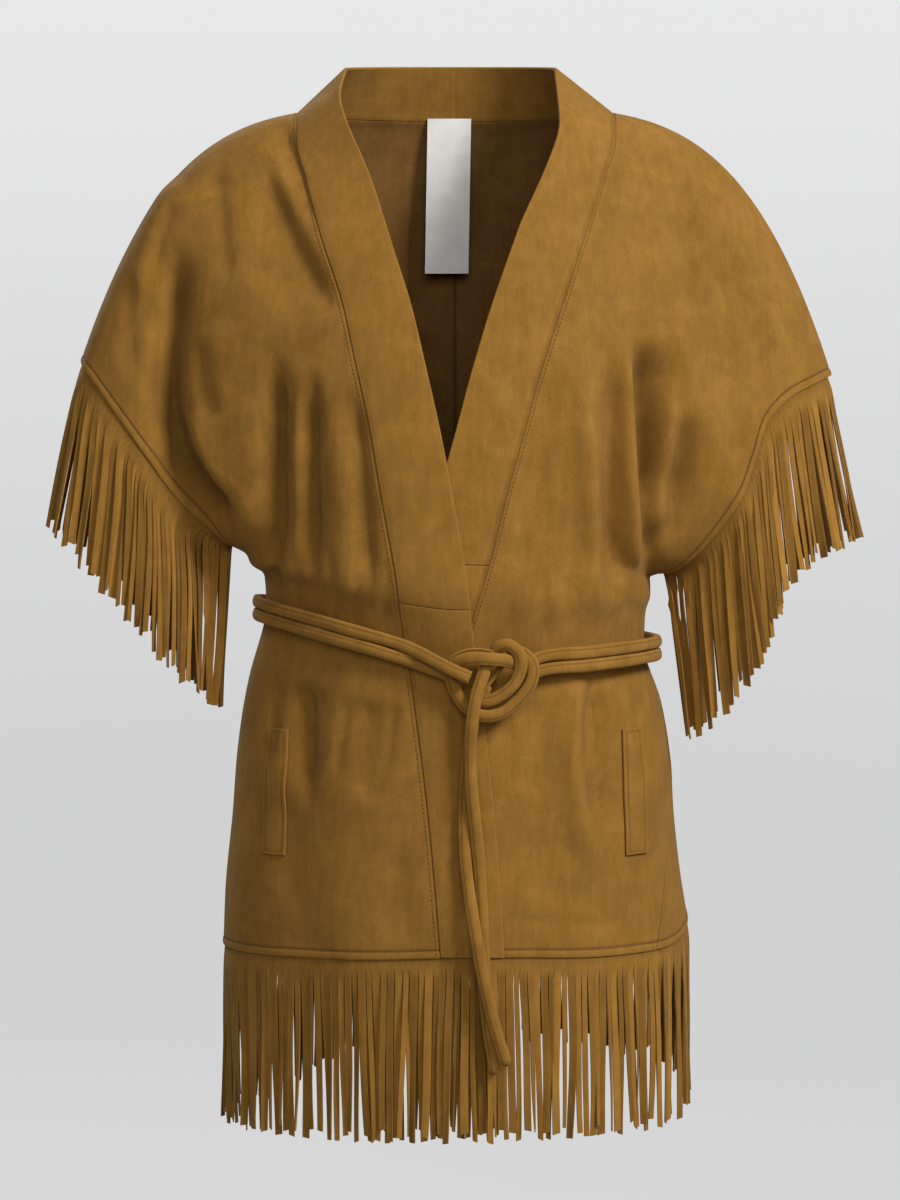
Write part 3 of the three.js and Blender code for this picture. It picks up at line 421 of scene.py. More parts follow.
def ripple(x, z):
    """The slight unevenness of hanging suede."""
    slow = np.sin(x / 37 + 1.3 * np.sin(z / 61)) * np.sin(z / 53 + 0.8)
    quick = np.sin(x / 15.5 + 0.7 + z / 70) * np.sin(z / 23 + 1.7 * np.sin(x / 33))
    flare = np.sin(x / 13 + 0.4) * smooth((-585 - z) / 60)
    return 0.7 * slow + 0.3 * quick + 0.9 * flare


def wrap_over(x, z):
    return WRAP_LIFT * smooth((x + 118) / 42) * smooth((-232 - z) / 55)


def cloth_point(angle, level, lift=0.0, over=False):
    """The finished cloth's middle surface, moved by lift along the way it faces."""
    point = ring_point(angle, level)
    normal = ring_normal(angle, level)
    x = point[..., 0]
    z = point[..., 2]
    on_front = np.cos(np.broadcast_to(angle, x.shape)) >= 0
    front = fold_depth(FRONT_FOLDS, x, z) + fold_depth(FRONT_CREASES, x, z)
    back = fold_depth(BACK_FOLDS, x, z) + fold_depth(BACK_CREASES, x, z)
    calm = 1 - smooth((np.broadcast_to(level, x.shape) - TOP + 3) / 3)
    out = np.where(on_front, front, back) + ripple(x, z) * calm + lift
    if over:
        out = out + wrap_over(x, z)
    return point + normal * out[..., None], normal


# The height of a fold's ridge and the depth of its trough at which their painted highlight and painted
# shade are at full strength
RIDGE_HIGH = 9.0
HOLLOW_DEEP = 13.0


def painted_fold_light(angle, level):
    """Painted light on the folds: a painted highlight on their ridges and painted shade down in their
    troughs.
    """
    point = ring_point(angle, level)
    x = point[..., 0]
    z = point[..., 2]
    front = fold_depth(FRONT_FOLDS, x, z) * 0.5 + fold_depth(FRONT_CREASES, x, z)
    back = fold_depth(BACK_FOLDS, x, z) * 0.5 + fold_depth(BACK_CREASES, x, z)
    depth = np.where(np.cos(np.broadcast_to(angle, x.shape)) >= 0, front, back)
    return 0.5 * smooth(depth / RIDGE_HIGH), 0.62 * smooth((-depth - 1) / HOLLOW_DEEP)


def edge_angle(edges, column, level):
    level = np.asarray(level, float)
    angle = np.zeros_like(level)
    for _ in range(12):
        height = ring_point(angle, level)[..., 2]
        angle = angle_at(level, look_up(edges, "z", column, height), True)
    return angle


def level_at_height(edges, z):
    low = 0.0
    high = TOP
    for _ in range(30):
        middle = (low + high) / 2
        if ring_point(edge_angle(edges, "seam", middle), middle)[2] < z:
            low = middle
        else:
            high = middle
    return low


def front_spot(x, z, lift):
    """A point on a front by its x and height, with the way it faces there."""
    level = np.full_like(x, 2.0)
    for _ in range(25):
        angle = angle_at(level, x, True)
        here = ring_point(angle, level)[..., 2]
        rise = ring_point(angle, level + 0.05)[..., 2] - here
        level = level + 0.05 * (z - here) / rise
    return cloth_point(angle, level, lift=lift, over=bool(x.mean() < 0))


# Where columns and rows stand beside an edge, in millimetres from it
EDGE_STEPS = np.array([0, 0.7, 1.4, 2.1, 3, 4.2, 5.8, 7, 7.8, 8.6, 9.6, 11.5, 14])
# The steps with the stitches of a hem and of the band's seam, and one well inside a hem
HEM_STITCH_STEP = 6
BAND_STITCH_STEP = 4
INSIDE_STEP = 9


def spaced(total, pitch, head=EDGE_STEPS, tail=EDGE_STEPS):
    """Distances along a run: close beside its ends and even between them."""
    count = max(2, int(round((np.max(total) - head[-1] - tail[-1]) / pitch)))
    total = np.asarray(total, float)[..., None]
    share = np.linspace(0, 1, count + 1)[1:-1]
    middle = head[-1] + share * (total - tail[-1] - head[-1])
    start = np.broadcast_to(head, total.shape[:-1] + head.shape)
    end = total - tail[::-1]
    return np.concatenate([start, middle, end], axis=-1)


def resample(angles, level, pitch, head, tail):
    """Even columns along each row of a panel, and their distances from both ends."""
    points = ring_point(angles, level[:, None])
    steps = np.linalg.norm(np.diff(points, axis=1), axis=-1)
    reach = np.concatenate([np.zeros((len(level), 1)), np.cumsum(steps, axis=1)], axis=1)
    marks = spaced(reach[:, -1], pitch, head, tail)
    found = [np.interp(marks[i], reach[i], angles[i]) for i in range(len(level))]
    return np.array(found), marks, reach[:, -1:] - marks


def panel_levels(pitch):
    """Rows of the panels: close at the hem and the shoulder, and through both band joins."""
    fine = np.linspace(0, TOP, 1400)
    line = ring_point(np.full_like(fine, 0.9), fine)
    reach = reach_along(line)
    levels = np.interp(spaced(reach[-1], pitch), reach, fine)
    for side, height in JOIN_HEIGHT.items():
        join = level_at_height(BAND_EDGES[side], height)
        levels[np.argmin(abs(levels - join))] = join
    return levels


PITCH = 3.6
LEVELS = panel_levels(PITCH)
HEM_AWAY = np.interp(LEVELS, [0, 1], [0, 49.0])
SHOULDER_AWAY = np.linalg.norm(ring_point(0.9, LEVELS) - ring_point(0.9, TOP), axis=-1)


# How far the rows of stitches lie from a hem and from a seam
HEM_STITCH = 5.8
SEAM_STITCH = 2.6


def hem_relief(away):
    """The turned hem: a soft roll below its row of stitches, which pulls in."""
    roll = 0.5 * smooth(away / 1.2) * smooth((HEM_STITCH - 0.1 - away) / 1.6)
    return roll - 0.6 * bump_at(away, HEM_STITCH, 0.8)


def seam_relief(away, stitch):
    """A seam that sinks, and the stitches beside it where there are any."""
    sink = -0.75 * np.exp(-((away / 1.1) ** 2)) + 0.25 * bump_at(away, 2.4, 1.6)
    return sink - (0.4 * bump_at(away, stitch, 0.6) if stitch else 0)


def edge_marks(edges):
    """How much lighter and how much darker the cloth is beside its edges: each edge is a distance, whether
    it is a hem, and a share.
    """
    wear_and_highlight = 0.0
    dark = 0.0
    for away, at_hem, share in edges:
        if at_hem:
            wear_and_highlight = wear_and_highlight + share * (0.8 * bump_at(away, 0.4, 1.2) + 0.35 * bump_at(away, 3, 1.8))
            dark = dark + share * 0.8 * bump_at(away, HEM_STITCH, 0.8)
        else:
            sunk = 0.9 * np.exp(-((away / 0.9) ** 2)) + 0.35 * bump_at(away, SEAM_STITCH, 0.6)
            wear_and_highlight = wear_and_highlight + share * 0.5 * bump_at(away, 2.8, 1.4)
            dark = dark + share * sunk
    return np.clip(wear_and_highlight, 0, 1), np.clip(dark, 0, 1)


def front_panel(side):
    """A front as rows of points, from hem to shoulder, with its lighter and darker places, among them the
    painted highlight and painted shade of its folds.
    """
    name = "right" if side < 0 else "left"
    inner = edge_angle(BAND_EDGES[name], "seam", LEVELS)
    share = np.linspace(0, 1, 240)
    angles = inner[:, None] + share * (side * SIDE_TURN - inner[:, None])
    angle, from_band, from_side = resample(angles, LEVELS, PITCH, EDGE_STEPS, EDGE_STEPS)
    mouth = smooth((LEVELS - UNDERARM) / 0.3)[:, None]
    hem = HEM_AWAY[:, None] + 0 * angle
    top = SHOULDER_AWAY[:, None] + 0 * angle
    lift = hem_relief(hem) + mouth * hem_relief(from_side)
    lift = lift + (1 - mouth) * seam_relief(from_side, 0) + seam_relief(from_band, SEAM_STITCH)
    lift = lift + seam_relief(top, 0) * 0.5
    points, normals = cloth_point(angle, LEVELS[:, None], lift=lift, over=side < 0)
    wear_and_highlight, dark = edge_marks([
        (hem, True, 1), (from_side, True, mouth), (from_side, False, 1 - mouth),
        (from_band, False, 1), (top, False, 0.6),
    ])
    # Painted highlight on the ridges of the folds and painted shade down in their troughs, added to the
    # edge marks
    brushed_and_highlight, hollow_shade = painted_fold_light(angle, LEVELS[:, None])
    grids = [points, normals, np.clip(wear_and_highlight + brushed_and_highlight, 0, 1), np.clip(dark + hollow_shade, 0, 1)]
    return [grid[:, ::-1] for grid in grids] if side < 0 else grids


def back_panel(side):
    """A back, from the centre seam round to the side seam and the sleeve end."""
    share = np.linspace(0, 1, 200)
    centre_x = side * SHOULDER_POINT_X * np.sin(share * QUARTER)
    inner = angle_at(LEVELS[:, None], np.broadcast_to(centre_x, (len(LEVELS), 200)), False)
    no_steps = np.array([0.0])
    first, from_centre, _ = resample(inner, LEVELS, PITCH, EDGE_STEPS, no_steps)
    start = inner[:, -1:]
    end = math.pi - side * SIDE_TURN
    outer = start + share * (end - start)
    second, _, from_side = resample(outer, LEVELS, PITCH, no_steps, EDGE_STEPS)
    angle = np.concatenate([first, second[:, 1:]], axis=1)
    far = np.full_like(angle, 99.0)
    centre_away = far.copy()
    centre_away[:, :first.shape[1]] = from_centre
    side_away = far.copy()
    side_away[:, first.shape[1] - 1:] = from_side
    mouth = smooth((LEVELS - UNDERARM) / 0.3)[:, None]
    hem = HEM_AWAY[:, None] + 0 * angle
    top = SHOULDER_AWAY[:, None] + 0 * angle
    lift = hem_relief(hem) + mouth * hem_relief(side_away)
    lift = lift + (1 - mouth) * seam_relief(side_away, 0) + seam_relief(centre_away, 0)
    lift = lift + seam_relief(top, 0) * 0.5
    points, normals = cloth_point(angle, LEVELS[:, None], lift=lift)
    wear_and_highlight, dark = edge_marks([
        (hem, True, 1), (side_away, True, mouth), (side_away, False, 1 - mouth),
        (centre_away, False, 1), (top, False, 0.6),
    ])
    # Painted highlight on the ridges of the folds and painted shade down in their troughs, added to the
    # edge marks
    brushed_and_highlight, hollow_shade = painted_fold_light(angle, LEVELS[:, None])
    grids = [points, normals, np.clip(wear_and_highlight + brushed_and_highlight, 0, 1), np.clip(dark + hollow_shade, 0, 1)]
    return grids if side < 0 else [grid[:, ::-1] for grid in grids]


def grid_normals(points):
    """The way each point of a grid faces, from its neighbours."""
    along = np.gradient(points, axis=1)
    up = np.gradient(points, axis=0)
    return unit(np.cross(along, up))


# Where the groove beside the band's seam lies across its width, and how far the halves overlap
BAND_GROOVE = 0.045
NAPE_OVERLAP = 0.4


def band_strip(side, from_level, to_level, round_nape):
    """The band between two levels, and on round the nape to the centre seam."""
    name = "right" if side < 0 else "left"
    edges = BAND_EDGES[name]
    neck = NECK_EDGES[name]
    levels = LEVELS[(LEVELS >= from_level - 1e-6) & (LEVELS <= to_level + 1e-6)]
    share = np.concatenate([[0, 0.02, 0.05, 0.09], np.linspace(0.14, 0.86, 12), [0.91, 0.95, 0.98, 1]])
    seam = edge_angle(edges, "seam", levels)[:, None]
    free = edge_angle(edges, "free", levels)[:, None]
    leaving = (levels - NECK_LEAVE["start"]) / (NECK_LEAVE["end"] - NECK_LEAVE["start"])
    leave = smooth(leaving)[:, None, None]
    seam_spot = cloth_point(seam[:, 0], levels, over=side < 0)[0]
    free_spot = np.stack([look_up(neck, "level", axis, levels) for axis in "xyz"], axis=-1)
    seam_spot = seam_spot + unit(free_spot - seam_spot) * leave[:, 0] * BAND_STAND["clear"]
    crown = 0.5 * np.sin(share * math.pi) - 0.5 * bump_at(share, BAND_GROOVE, 0.02)
    flat = cloth_point(seam + share * (free - seam), levels[:, None], lift=crown, over=side < 0)[0]
    standing = seam_spot[:, None] + share[:, None] * (free_spot - seam_spot)[:, None]
    rows = flat + (standing - flat) * leave
    if from_level > 0:
        rows[0, :, 2] += 0.2
    if round_nape:
        turn = np.linspace(0, QUARTER, 41)[1:]
        angle = angle_at(np.full_like(turn, TOP), side * SHOULDER_POINT_X * np.cos(turn), False)
        low = cloth_point(angle, np.full_like(turn, TOP))[0]
        low[:, 2] += BAND_STAND["clear"]
        start = [neck[axis][-1] for axis in "xyz"]
        high = np.stack([
            start[0] * np.cos(turn),
            start[1] + (BAND_STAND["top_y"] - start[1]) * np.sin(turn),
            start[2] + (BAND_STAND["top_z"] - start[2]) * np.sin(turn),
        ], axis=-1)
        nape = low[:, None] + share[:, None] * (high - low)[:, None]
        nape[-1, :, 0] = -side * NAPE_OVERLAP
        rows = np.concatenate([rows, nape])
    wear_and_highlight_across = 0.75 * bump_at(share, 1, 0.03) + 0.3 * bump_at(share, 0.09, 0.03)
    dark_across = 0.7 * bump_at(share, 0, 0.02) + 0.3 * bump_at(share, BAND_GROOVE, 0.012)
    wear_and_highlight = np.broadcast_to(wear_and_highlight_across, rows.shape[:2])
    dark = np.broadcast_to(dark_across, rows.shape[:2])
    if side > 0:
        rows = rows[:, ::-1]
        wear_and_highlight = wear_and_highlight[:, ::-1]
        dark = dark[:, ::-1]
    return [rows, grid_normals(rows), wear_and_highlight, dark]


# Meshes
def new_object(name, mesh, material_names):
    thing = bpy.data.objects.new(name, mesh)
    bpy.context.scene.collection.objects.link(thing)
    for material in material_names:
        mesh.materials.append(bpy.data.materials[material])
    return thing


def set_points(mesh, points):
    mesh.vertices.foreach_set("co", (np.asarray(points).reshape(-1, 3) * MM).astype(np.float32).ravel())
    mesh.update()


def set_attribute(mesh, name, values):
    layer = mesh.attributes.new(name, "FLOAT", "POINT")
    layer.data.foreach_set("value", np.asarray(values, dtype=np.float32).ravel())


def set_cloth_uv(mesh, across, along):
    """Lays the flat place of each point, in metres, on the piece's own UV map."""
    corner = np.empty(len(mesh.loops), dtype=np.int32)
    mesh.loops.foreach_get("vertex_index", corner)
    flat = np.stack([np.ravel(across), np.ravel(along)], axis=-1)[corner] * MM
    layer = mesh.uv_layers.active or mesh.uv_layers.new(name="cloth")
    layer.data.foreach_set("uv", flat.astype(np.float32).ravel())


def grid_mesh(name, points, drop_face=None):
    """A grid of quads on rows of points. drop_face says which quads are cut away."""
    rows, columns = points.shape[:2]
    bm = bmesh.new()
    bm.loops.layers.uv.new("cloth")
    bmesh.ops.create_grid(bm, x_segments=columns - 1, y_segments=rows - 1, size=1.0, calc_uvs=True)
    bm.verts.ensure_lookup_table()
    if drop_face is not None:
        cut = []
        for face in bm.faces:
            centre = face.calc_center_median()
            column = int((centre.x + 1) / 2 * (columns - 1))
            row = int((centre.y + 1) / 2 * (rows - 1))
            if drop_face(row, column):
                cut.append(face)
        bmesh.ops.delete(bm, geom=cut, context="FACES")
    mesh = bpy.data.meshes.new(name)
    bm.to_mesh(mesh)
    bm.free()
    set_points(mesh, points)
    steps_across = np.linalg.norm(np.diff(points, axis=1), axis=-1)
    steps_along = np.linalg.norm(np.diff(points, axis=0), axis=-1)
    across = np.concatenate([np.zeros((rows, 1)), np.cumsum(steps_across, axis=1)], axis=1)
    along = np.concatenate([np.zeros((1, columns)), np.cumsum(steps_along, axis=0)], axis=0)
    set_cloth_uv(mesh, across, along)
    return mesh


def thicken(thing, thick, round_edge=0.0):
    """Gives a sheet its thickness about its middle, rounds its edges where asked and applies both."""
    wall = thing.modifiers.new("thickness", "SOLIDIFY")
    wall.thickness = thick * MM
    wall.offset = 0
    wall.material_offset = 1
    wall.material_offset_rim = 2
    wall.use_quality_normals = True
    if round_edge:
        bevel = thing.modifiers.new("rounded edge", "BEVEL")
        bevel.width = round_edge * MM
        bevel.segments = 3
        bevel.limit_method = "ANGLE"
        bevel.angle_limit = math.radians(50)
    graph = bpy.context.evaluated_depsgraph_get()
    mesh = bpy.data.meshes.new_from_object(thing.evaluated_get(graph))
    thing.modifiers.clear()
    thing.data = mesh
    mesh.shade_smooth()
    mesh.set_sharp_from_angle(angle=math.radians(40))


def cloth_piece(name, grids, thick, materials, node, round_edge=0.0):
    """A panel, band, welt or label: a thin sheet on its solid's form, which it stands for."""
    points, _, wear_and_highlight, dark = grids
    mesh = grid_mesh(name, points)
    set_attribute(mesh, "wear_and_highlight", wear_and_highlight)
    set_attribute(mesh, "dark", dark)
    set_attribute(mesh, "tone", np.full(wear_and_highlight.size, 0.5))
    thing = new_object(name, mesh, materials)
    thicken(thing, thick, round_edge)
    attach(thing, "root")
    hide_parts(node)
    return thing


# Cords
def smooth_path(points, count, share_from=0.0, share_to=1.0):
    """A smooth run through given points, with even steps."""
    points = np.asarray(points, dtype=float)
    gaps = np.sqrt(np.linalg.norm(np.diff(points, axis=0), axis=-1))
    first = points[0] + (points[0] - points[1])
    last = points[-1] + (points[-1] - points[-2])
    padded = np.vstack([first, points, last])
    knots = np.concatenate([[-gaps[0], 0], np.cumsum(gaps), [gaps.sum() + gaps[-1]]])
    fine = []
    for i in range(1, len(padded) - 2):
        t0, t1, t2, t3 = knots[i - 1:i + 3]
        p0, p1, p2, p3 = padded[i - 1:i + 3]
        t = np.linspace(t1, t2, 40, endpoint=False)[:, None]
        a1 = (t1 - t) / (t1 - t0) * p0 + (t - t0) / (t1 - t0) * p1
        a2 = (t2 - t) / (t2 - t1) * p1 + (t - t1) / (t2 - t1) * p2
        a3 = (t3 - t) / (t3 - t2) * p2 + (t - t2) / (t3 - t2) * p3
        b1 = (t2 - t) / (t2 - t0) * a1 + (t - t0) / (t2 - t0) * a2
        b2 = (t3 - t) / (t3 - t1) * a2 + (t - t1) / (t3 - t1) * a3
        fine.append((t2 - t) / (t2 - t1) * b1 + (t - t1) / (t2 - t1) * b2)
    fine = np.vstack(fine + [points[-1:]])
    reach = reach_along(fine)
    marks = np.linspace(share_from, share_to, count) * reach[-1]
    return at_marks(marks, reach, fine)


def path_length(path):
    return float(np.linalg.norm(np.diff(path, axis=0), axis=-1).sum())


CORD_SIDES = 24


def strand_mesh(name, path, outward, wide, deep, seed, rounded=True):
    """A folded suede cord along a path: a flattened round with its fold line sunk in one side."""
    path = np.asarray(path, dtype=float)
    count = len(path)
    tangent = unit(np.gradient(path, axis=0))
    outward = np.broadcast_to(np.asarray(outward, dtype=float), path.shape)
    out = unit(outward - (outward * tangent).sum(-1, keepdims=True) * tangent)
    side = np.cross(tangent, out)
    reach = np.linspace(0, path_length(path), count)
    theta = np.linspace(0, 2 * math.pi, CORD_SIDES + 1)[None, :]
    flat = 0.8
    cosine = np.sign(np.cos(theta)) * np.abs(np.cos(theta)) ** flat
    sine = np.sign(np.sin(theta)) * np.abs(np.sin(theta)) ** flat
    uneven = 0.03 * np.sin(reach / 17 + seed) + 0.02 * np.sin(reach / 7.3 + 2 * seed)
    width = wide / 2 * (1 + uneven)[:, None]
    depth = deep / 2 * (1 + 0.04 * np.sin(reach / 13 + 1.7 * seed))[:, None]
    if rounded:
        for away in (reach, reach[-1] - reach):
            close = np.sqrt(np.clip(1 - (1 - np.clip(away / (wide * 0.45), 0, 1)) ** 2, 0.02, 1))[:, None]
            width = width * close
            depth = depth * close
    fold_at = math.radians(62)
    wrinkle = 0.10 * np.sin(reach / 2.9 + seed)[:, None] * np.cos(2 * theta + seed)
    sunk = 1 - 0.16 * np.exp(-(((theta - fold_at) / 0.16) ** 2)) + wrinkle * 0.12
    points = path[:, None] + side[:, None] * (width * cosine * sunk)[..., None]
    points = points + out[:, None] * (depth * sine * sunk)[..., None]
    mesh = grid_mesh(name, points)
    dark = 0.8 * np.exp(-(((theta - fold_at) / 0.12) ** 2)) + np.zeros_like(width)
    set_attribute(mesh, "dark", dark)
    set_attribute(mesh, "wear_and_highlight", 0.5 * np.abs(np.cos(theta)) ** 6 + np.zeros_like(width))
    set_attribute(mesh, "tone", np.full(dark.size, 0.6))
    bm = bmesh.new()
    bm.from_mesh(mesh)
    bmesh.ops.remove_doubles(bm, verts=bm.verts, dist=1e-6)
    open_edges = [edge for edge in bm.edges if edge.is_boundary]
    bmesh.ops.holes_fill(bm, edges=open_edges, sides=CORD_SIDES + 2)
    bmesh.ops.recalc_face_normals(bm, faces=bm.faces)
    bm.to_mesh(mesh)
    bm.free()
    mesh.shade_smooth()
    mesh.set_sharp_from_angle(angle=math.radians(55))
    return mesh


def joined_object(name, meshes, materials):
    """Several meshes as one piece."""
    bm = bmesh.new()
    for mesh in meshes:
        bm.from_mesh(mesh)
    whole = bpy.data.meshes.new(name)
    bm.to_mesh(whole)
    bm.free()
    whole.shade_smooth()
    whole.set_sharp_from_angle(angle=math.radians(55))
    return new_object(name, whole, materials)


# The cord, each turn's distance from the middle of the belt, and how the belt stands off the cloth
CORD = {"wide": 9.4, "deep": 7.0}
BELT_DROP = CORD["wide"] / 2 + 0.35
BELT_CLEAR = 3.4
HALF_WALL = 0.8
SEAM_GAP = 0.3


def belt_path(drop):
    """One strand round the waist, from the knot by the wearer's right and back again."""
    stand = HALF_WALL + SEAM_GAP + CORD["deep"] / 2 + BELT_CLEAR
    upper = drop < 0
    angle = np.radians(np.linspace(-14 if upper else -9, -336, 23))
    spot = ring_point(angle, WAIST)
    normal = ring_normal(angle, np.full_like(angle, WAIST))
    normal[:, 2] = 0
    over = np.where(np.cos(angle) > 0, wrap_over(spot[:, 0], spot[:, 2]), 0)
    spot = spot + unit(normal) * (stand + over)[:, None]
    spot[:, 2] -= drop
    into_knot = [(18, KNOT["y"] + 1, KNOT["z"] - drop * 0.7)]
    over_knot = [(11, -134.5, -430), (-3, -132.5, -424), (-15, -127, -418)]
    start = over_knot if upper else into_knot
    end = (40, KNOT["y"] + 1, KNOT["z"] - drop * 0.7)
    return np.vstack([start, spot, end])


def belt_outward(path):
    """Away from the middle of the waist, level."""
    out = path - np.array([0, 5.0, 0])
    out[:, 2] = 0
    return unit(out)


# Fringe
def edge_run(points, normals, into_cloth):
    """A run along an edge by its share: its place, the way it faces and the way out of the cloth."""
    reach = reach_along(points)
    outward = unit(points - into_cloth)

    def at(share):
        marks = share * reach[-1]
        place, faced, away = (at_marks(marks, reach, values) for values in (points, normals, outward))
        return place, unit(faced), unit(away)

    return at, float(reach[-1])


# The strip's rows and the cuts' tops below the hem, and the strands' points across and down
STRIP_TOP = 6.0
STRIP_ROWS = np.array([-STRIP_TOP, -1.0, 1.5, 5.0])
CUT_TOP = 8.4
ACROSS = np.array([-1.0, -0.36, 0.36, 1.0])
STRAND_ROWS = 23
# How soon a strand turns to hang down, its gap to the next, and how far the strip lies behind the hem
TURN_DOWN = 13.0
STRAND_GAP = 0.3
BEHIND_HEM = 0.9


def fringe_points(run, long, strands, lean_at, louvre, seed, thick, ends):
    """Rows of points for a strip and the strands cut from it, all hanging from their roots."""
    at, whole = run
    index = np.arange(strands)
    pitch = whole * (ends[1] - ends[0]) / strands
    jitter = 0.13 * np.sin(index * 2.7 + seed)
    cuts = np.concatenate([[0], index[1:] + jitter[1:], [strands]]) / strands
    cuts = ends[0] + cuts * (ends[1] - ends[0])
    middle = (cuts[1:] + cuts[:-1]) / 2
    half_share = (cuts[1:] - cuts[:-1]) / 2
    root, normal, outward = at(middle)
    gap = STRAND_GAP / pitch
    share = middle[:, None] + half_share[:, None] * ACROSS[None, :] * (1 - gap)
    edge_point, edge_normal, edge_out = at(share)
    tuck = thick / 2 + BEHIND_HEM
    strip = []
    for row in STRIP_ROWS:
        inside = tuck * (1 - 0.35 * smooth((row + 1) / 6))
        strip.append(edge_point + edge_out * row - edge_normal * inside)
    lift = tuck * 0.65
    start = root + outward * CUT_TOP - normal * lift
    lengths = long * (1 + 0.03 * np.sin(index * 2.4 + seed) + 0.016 * np.sin(index * 5.1))
    lean = lean_at(middle)
    target = root + unit(np.array([0, 0, -1.0]) + lean) * lengths[:, None]
    clump = 2.4 * np.sin(index * 0.83 + seed) + 3.4 * np.sin(index * 0.31 + 2 * seed)
    loose = 1.2 * np.sin(index * 1.9 + 3 * seed)
    tangent = unit(at(np.clip(middle + 0.004, 0, 1))[0] - at(np.clip(middle - 0.004, 0, 1))[0])
    level_out = normal.copy()
    level_out[:, 2] = 0
    level_out = unit(level_out)
    target = target + tangent * (clump + loose)[:, None] * 0.7
    target = target + level_out * (2.6 * np.sin(index * 2.31 + seed) - 0.8)[:, None]
    steps = np.linspace(0, 1, STRAND_ROWS) ** 1.35
    fall = unit(target - start)
    run_long = np.linalg.norm(target - start, axis=-1)
    down = steps[None, :, None]
    gone = down * run_long[:, None, None]
    path = start[:, None] + (target - start)[:, None] * down
    path = path + (outward - fall)[:, None] * gone * np.exp(-gone / TURN_DOWN)
    sway = np.sin(down[..., 0] * math.pi * 1.3 + index[:, None] * 1.7 + seed)
    path = path + tangent[:, None] * (1.1 * sway * down[..., 0] ** 1.2)[..., None]
    bow = np.sin(down[..., 0] * math.pi) * (1.5 * np.sin(index * 2.2 + seed))[:, None]
    path = path + level_out[:, None] * bow[..., None]
    line = unit(np.gradient(path, axis=1))
    wide = tangent[:, None] - (tangent[:, None] * line).sum(-1, keepdims=True) * line
    wide = unit(wide)
    face = np.cross(wide, line)
    wrong = np.sign((face * normal[:, None]).sum(-1, keepdims=True))
    face = face * np.where(wrong == 0, 1, wrong)
    twisted = 0.3 * np.sin(index * 1.13 + 4 * seed) + 1.1 * np.sin(index * 3.7 + seed) ** 7
    turn = louvre * smooth(down[..., 0] * 5) + twisted[:, None] * down[..., 0] ** 1.4
    turned_wide = wide * np.cos(turn)[..., None] + face * np.sin(turn)[..., None]
    turned_face = face * np.cos(turn)[..., None] - wide * np.sin(turn)[..., None]
    half = (half_share * whole * (1 - gap))[:, None]
    waist = 0.1 * smooth(down[..., 0] * 9) + 0.03 * np.sin(down[..., 0] * 9 + index[:, None])
    narrow = half * (1 - waist)
    cup = 0.55 * np.sin(index * 0.9 + seed)[:, None] * down[..., 0]
    local = ACROSS[None, None, :, None]
    strand = path[:, :, None] + turned_wide[:, :, None] * local * narrow[..., None, None]
    strand = strand + turned_face[:, :, None] * (local ** 2 - 0.4) * cup[..., None, None]
    slant = (0.8 * np.sin(index * 2.9 + seed))[:, None, None, None] * local
    at_tip = smooth((down[..., 0] - 0.9) / 0.1)[..., None, None]
    strand = strand + line[:, :, None] * slant * at_tip
    rows = [part.reshape(-1, 3) for part in strip]
    rows += [strand[:, k].reshape(-1, 3) for k in range(strand.shape[1])]
    tone = 0.46 + 0.46 * np.sin(index * 2.1 + seed) + 0.34 * np.sin(index * 4.7 + 1)
    return np.array(rows), tone


def fringe_piece(node, run, long, strands, lean_at, louvre, seed, props, ends=(0.0, 1.0)):
    """One run of fringe: its strip behind the hem and its strands, as one cut sheet."""
    name = f"{node}_cut"
    thick = props.fringe_thick / MM
    points, tone = fringe_points(run, long, strands, lean_at, louvre, seed, thick, ends)
    strip_rows = len(STRIP_ROWS)
    rows = len(points)

    def between_strands(row, column):
        return column % len(ACROSS) == len(ACROSS) - 1 and rows - 2 - row >= strip_rows

    mesh = grid_mesh(name, points[::-1], drop_face=between_strands)
    fade = np.concatenate([np.zeros(strip_rows), np.linspace(0, 1, rows - strip_rows)])[::-1]
    fade = smooth(fade * 5)[:, None]
    per_point = np.repeat(tone, len(ACROSS))[None, :] * fade + 0.5 * (1 - fade)
    set_attribute(mesh, "tone", per_point)
    edge = np.tile(np.abs(ACROSS) > 0.9, strands)[None, :] * 0.45 + 0 * per_point
    set_attribute(mesh, "wear_and_highlight", edge)
    # Painted shadow: a dark band across the strip just below the hem's edge
    root = 0.4 * bump_at(np.arange(rows)[::-1], 2.2, 0.9)[:, None]
    set_attribute(mesh, "dark", root + 0 * per_point)
    thing = new_object(name, mesh, ["Suede nap side", "Suede flesh side", "Suede cut edge"])
    thicken(thing, thick)
    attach(thing, "root")
    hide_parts(node)


# Sewing
def stitch_row(bm, points, normals, pitch, long, thick, lift=0.25):
    """Small raised stitches along a row of points."""
    reach = reach_along(points)
    count = int(reach[-1] / pitch)
    marks = (np.arange(count) + 0.5) * reach[-1] / count
    place = at_marks(marks, reach, points)
    ahead = at_marks(marks + 0.6, reach, points)
    face = unit(at_marks(marks, reach, normals))
    run = unit(ahead - place)
    run[-1] = run[-2]
    side = unit(np.cross(face, run))
    place = place + face * lift
    half = (long / 2 * MM, thick / 2 * MM, thick / 2 * MM)
    for spot, *axes in zip(place, run, side, face):
        made = bmesh.ops.create_icosphere(bm, subdivisions=1, radius=1.0)
        for vert in made["verts"]:
            moved = Vector(spot * MM)
            for axis, reach_out, part in zip(axes, half, tuple(vert.co)):
                moved = moved + Vector(axis) * (reach_out * part)
            vert.co = moved


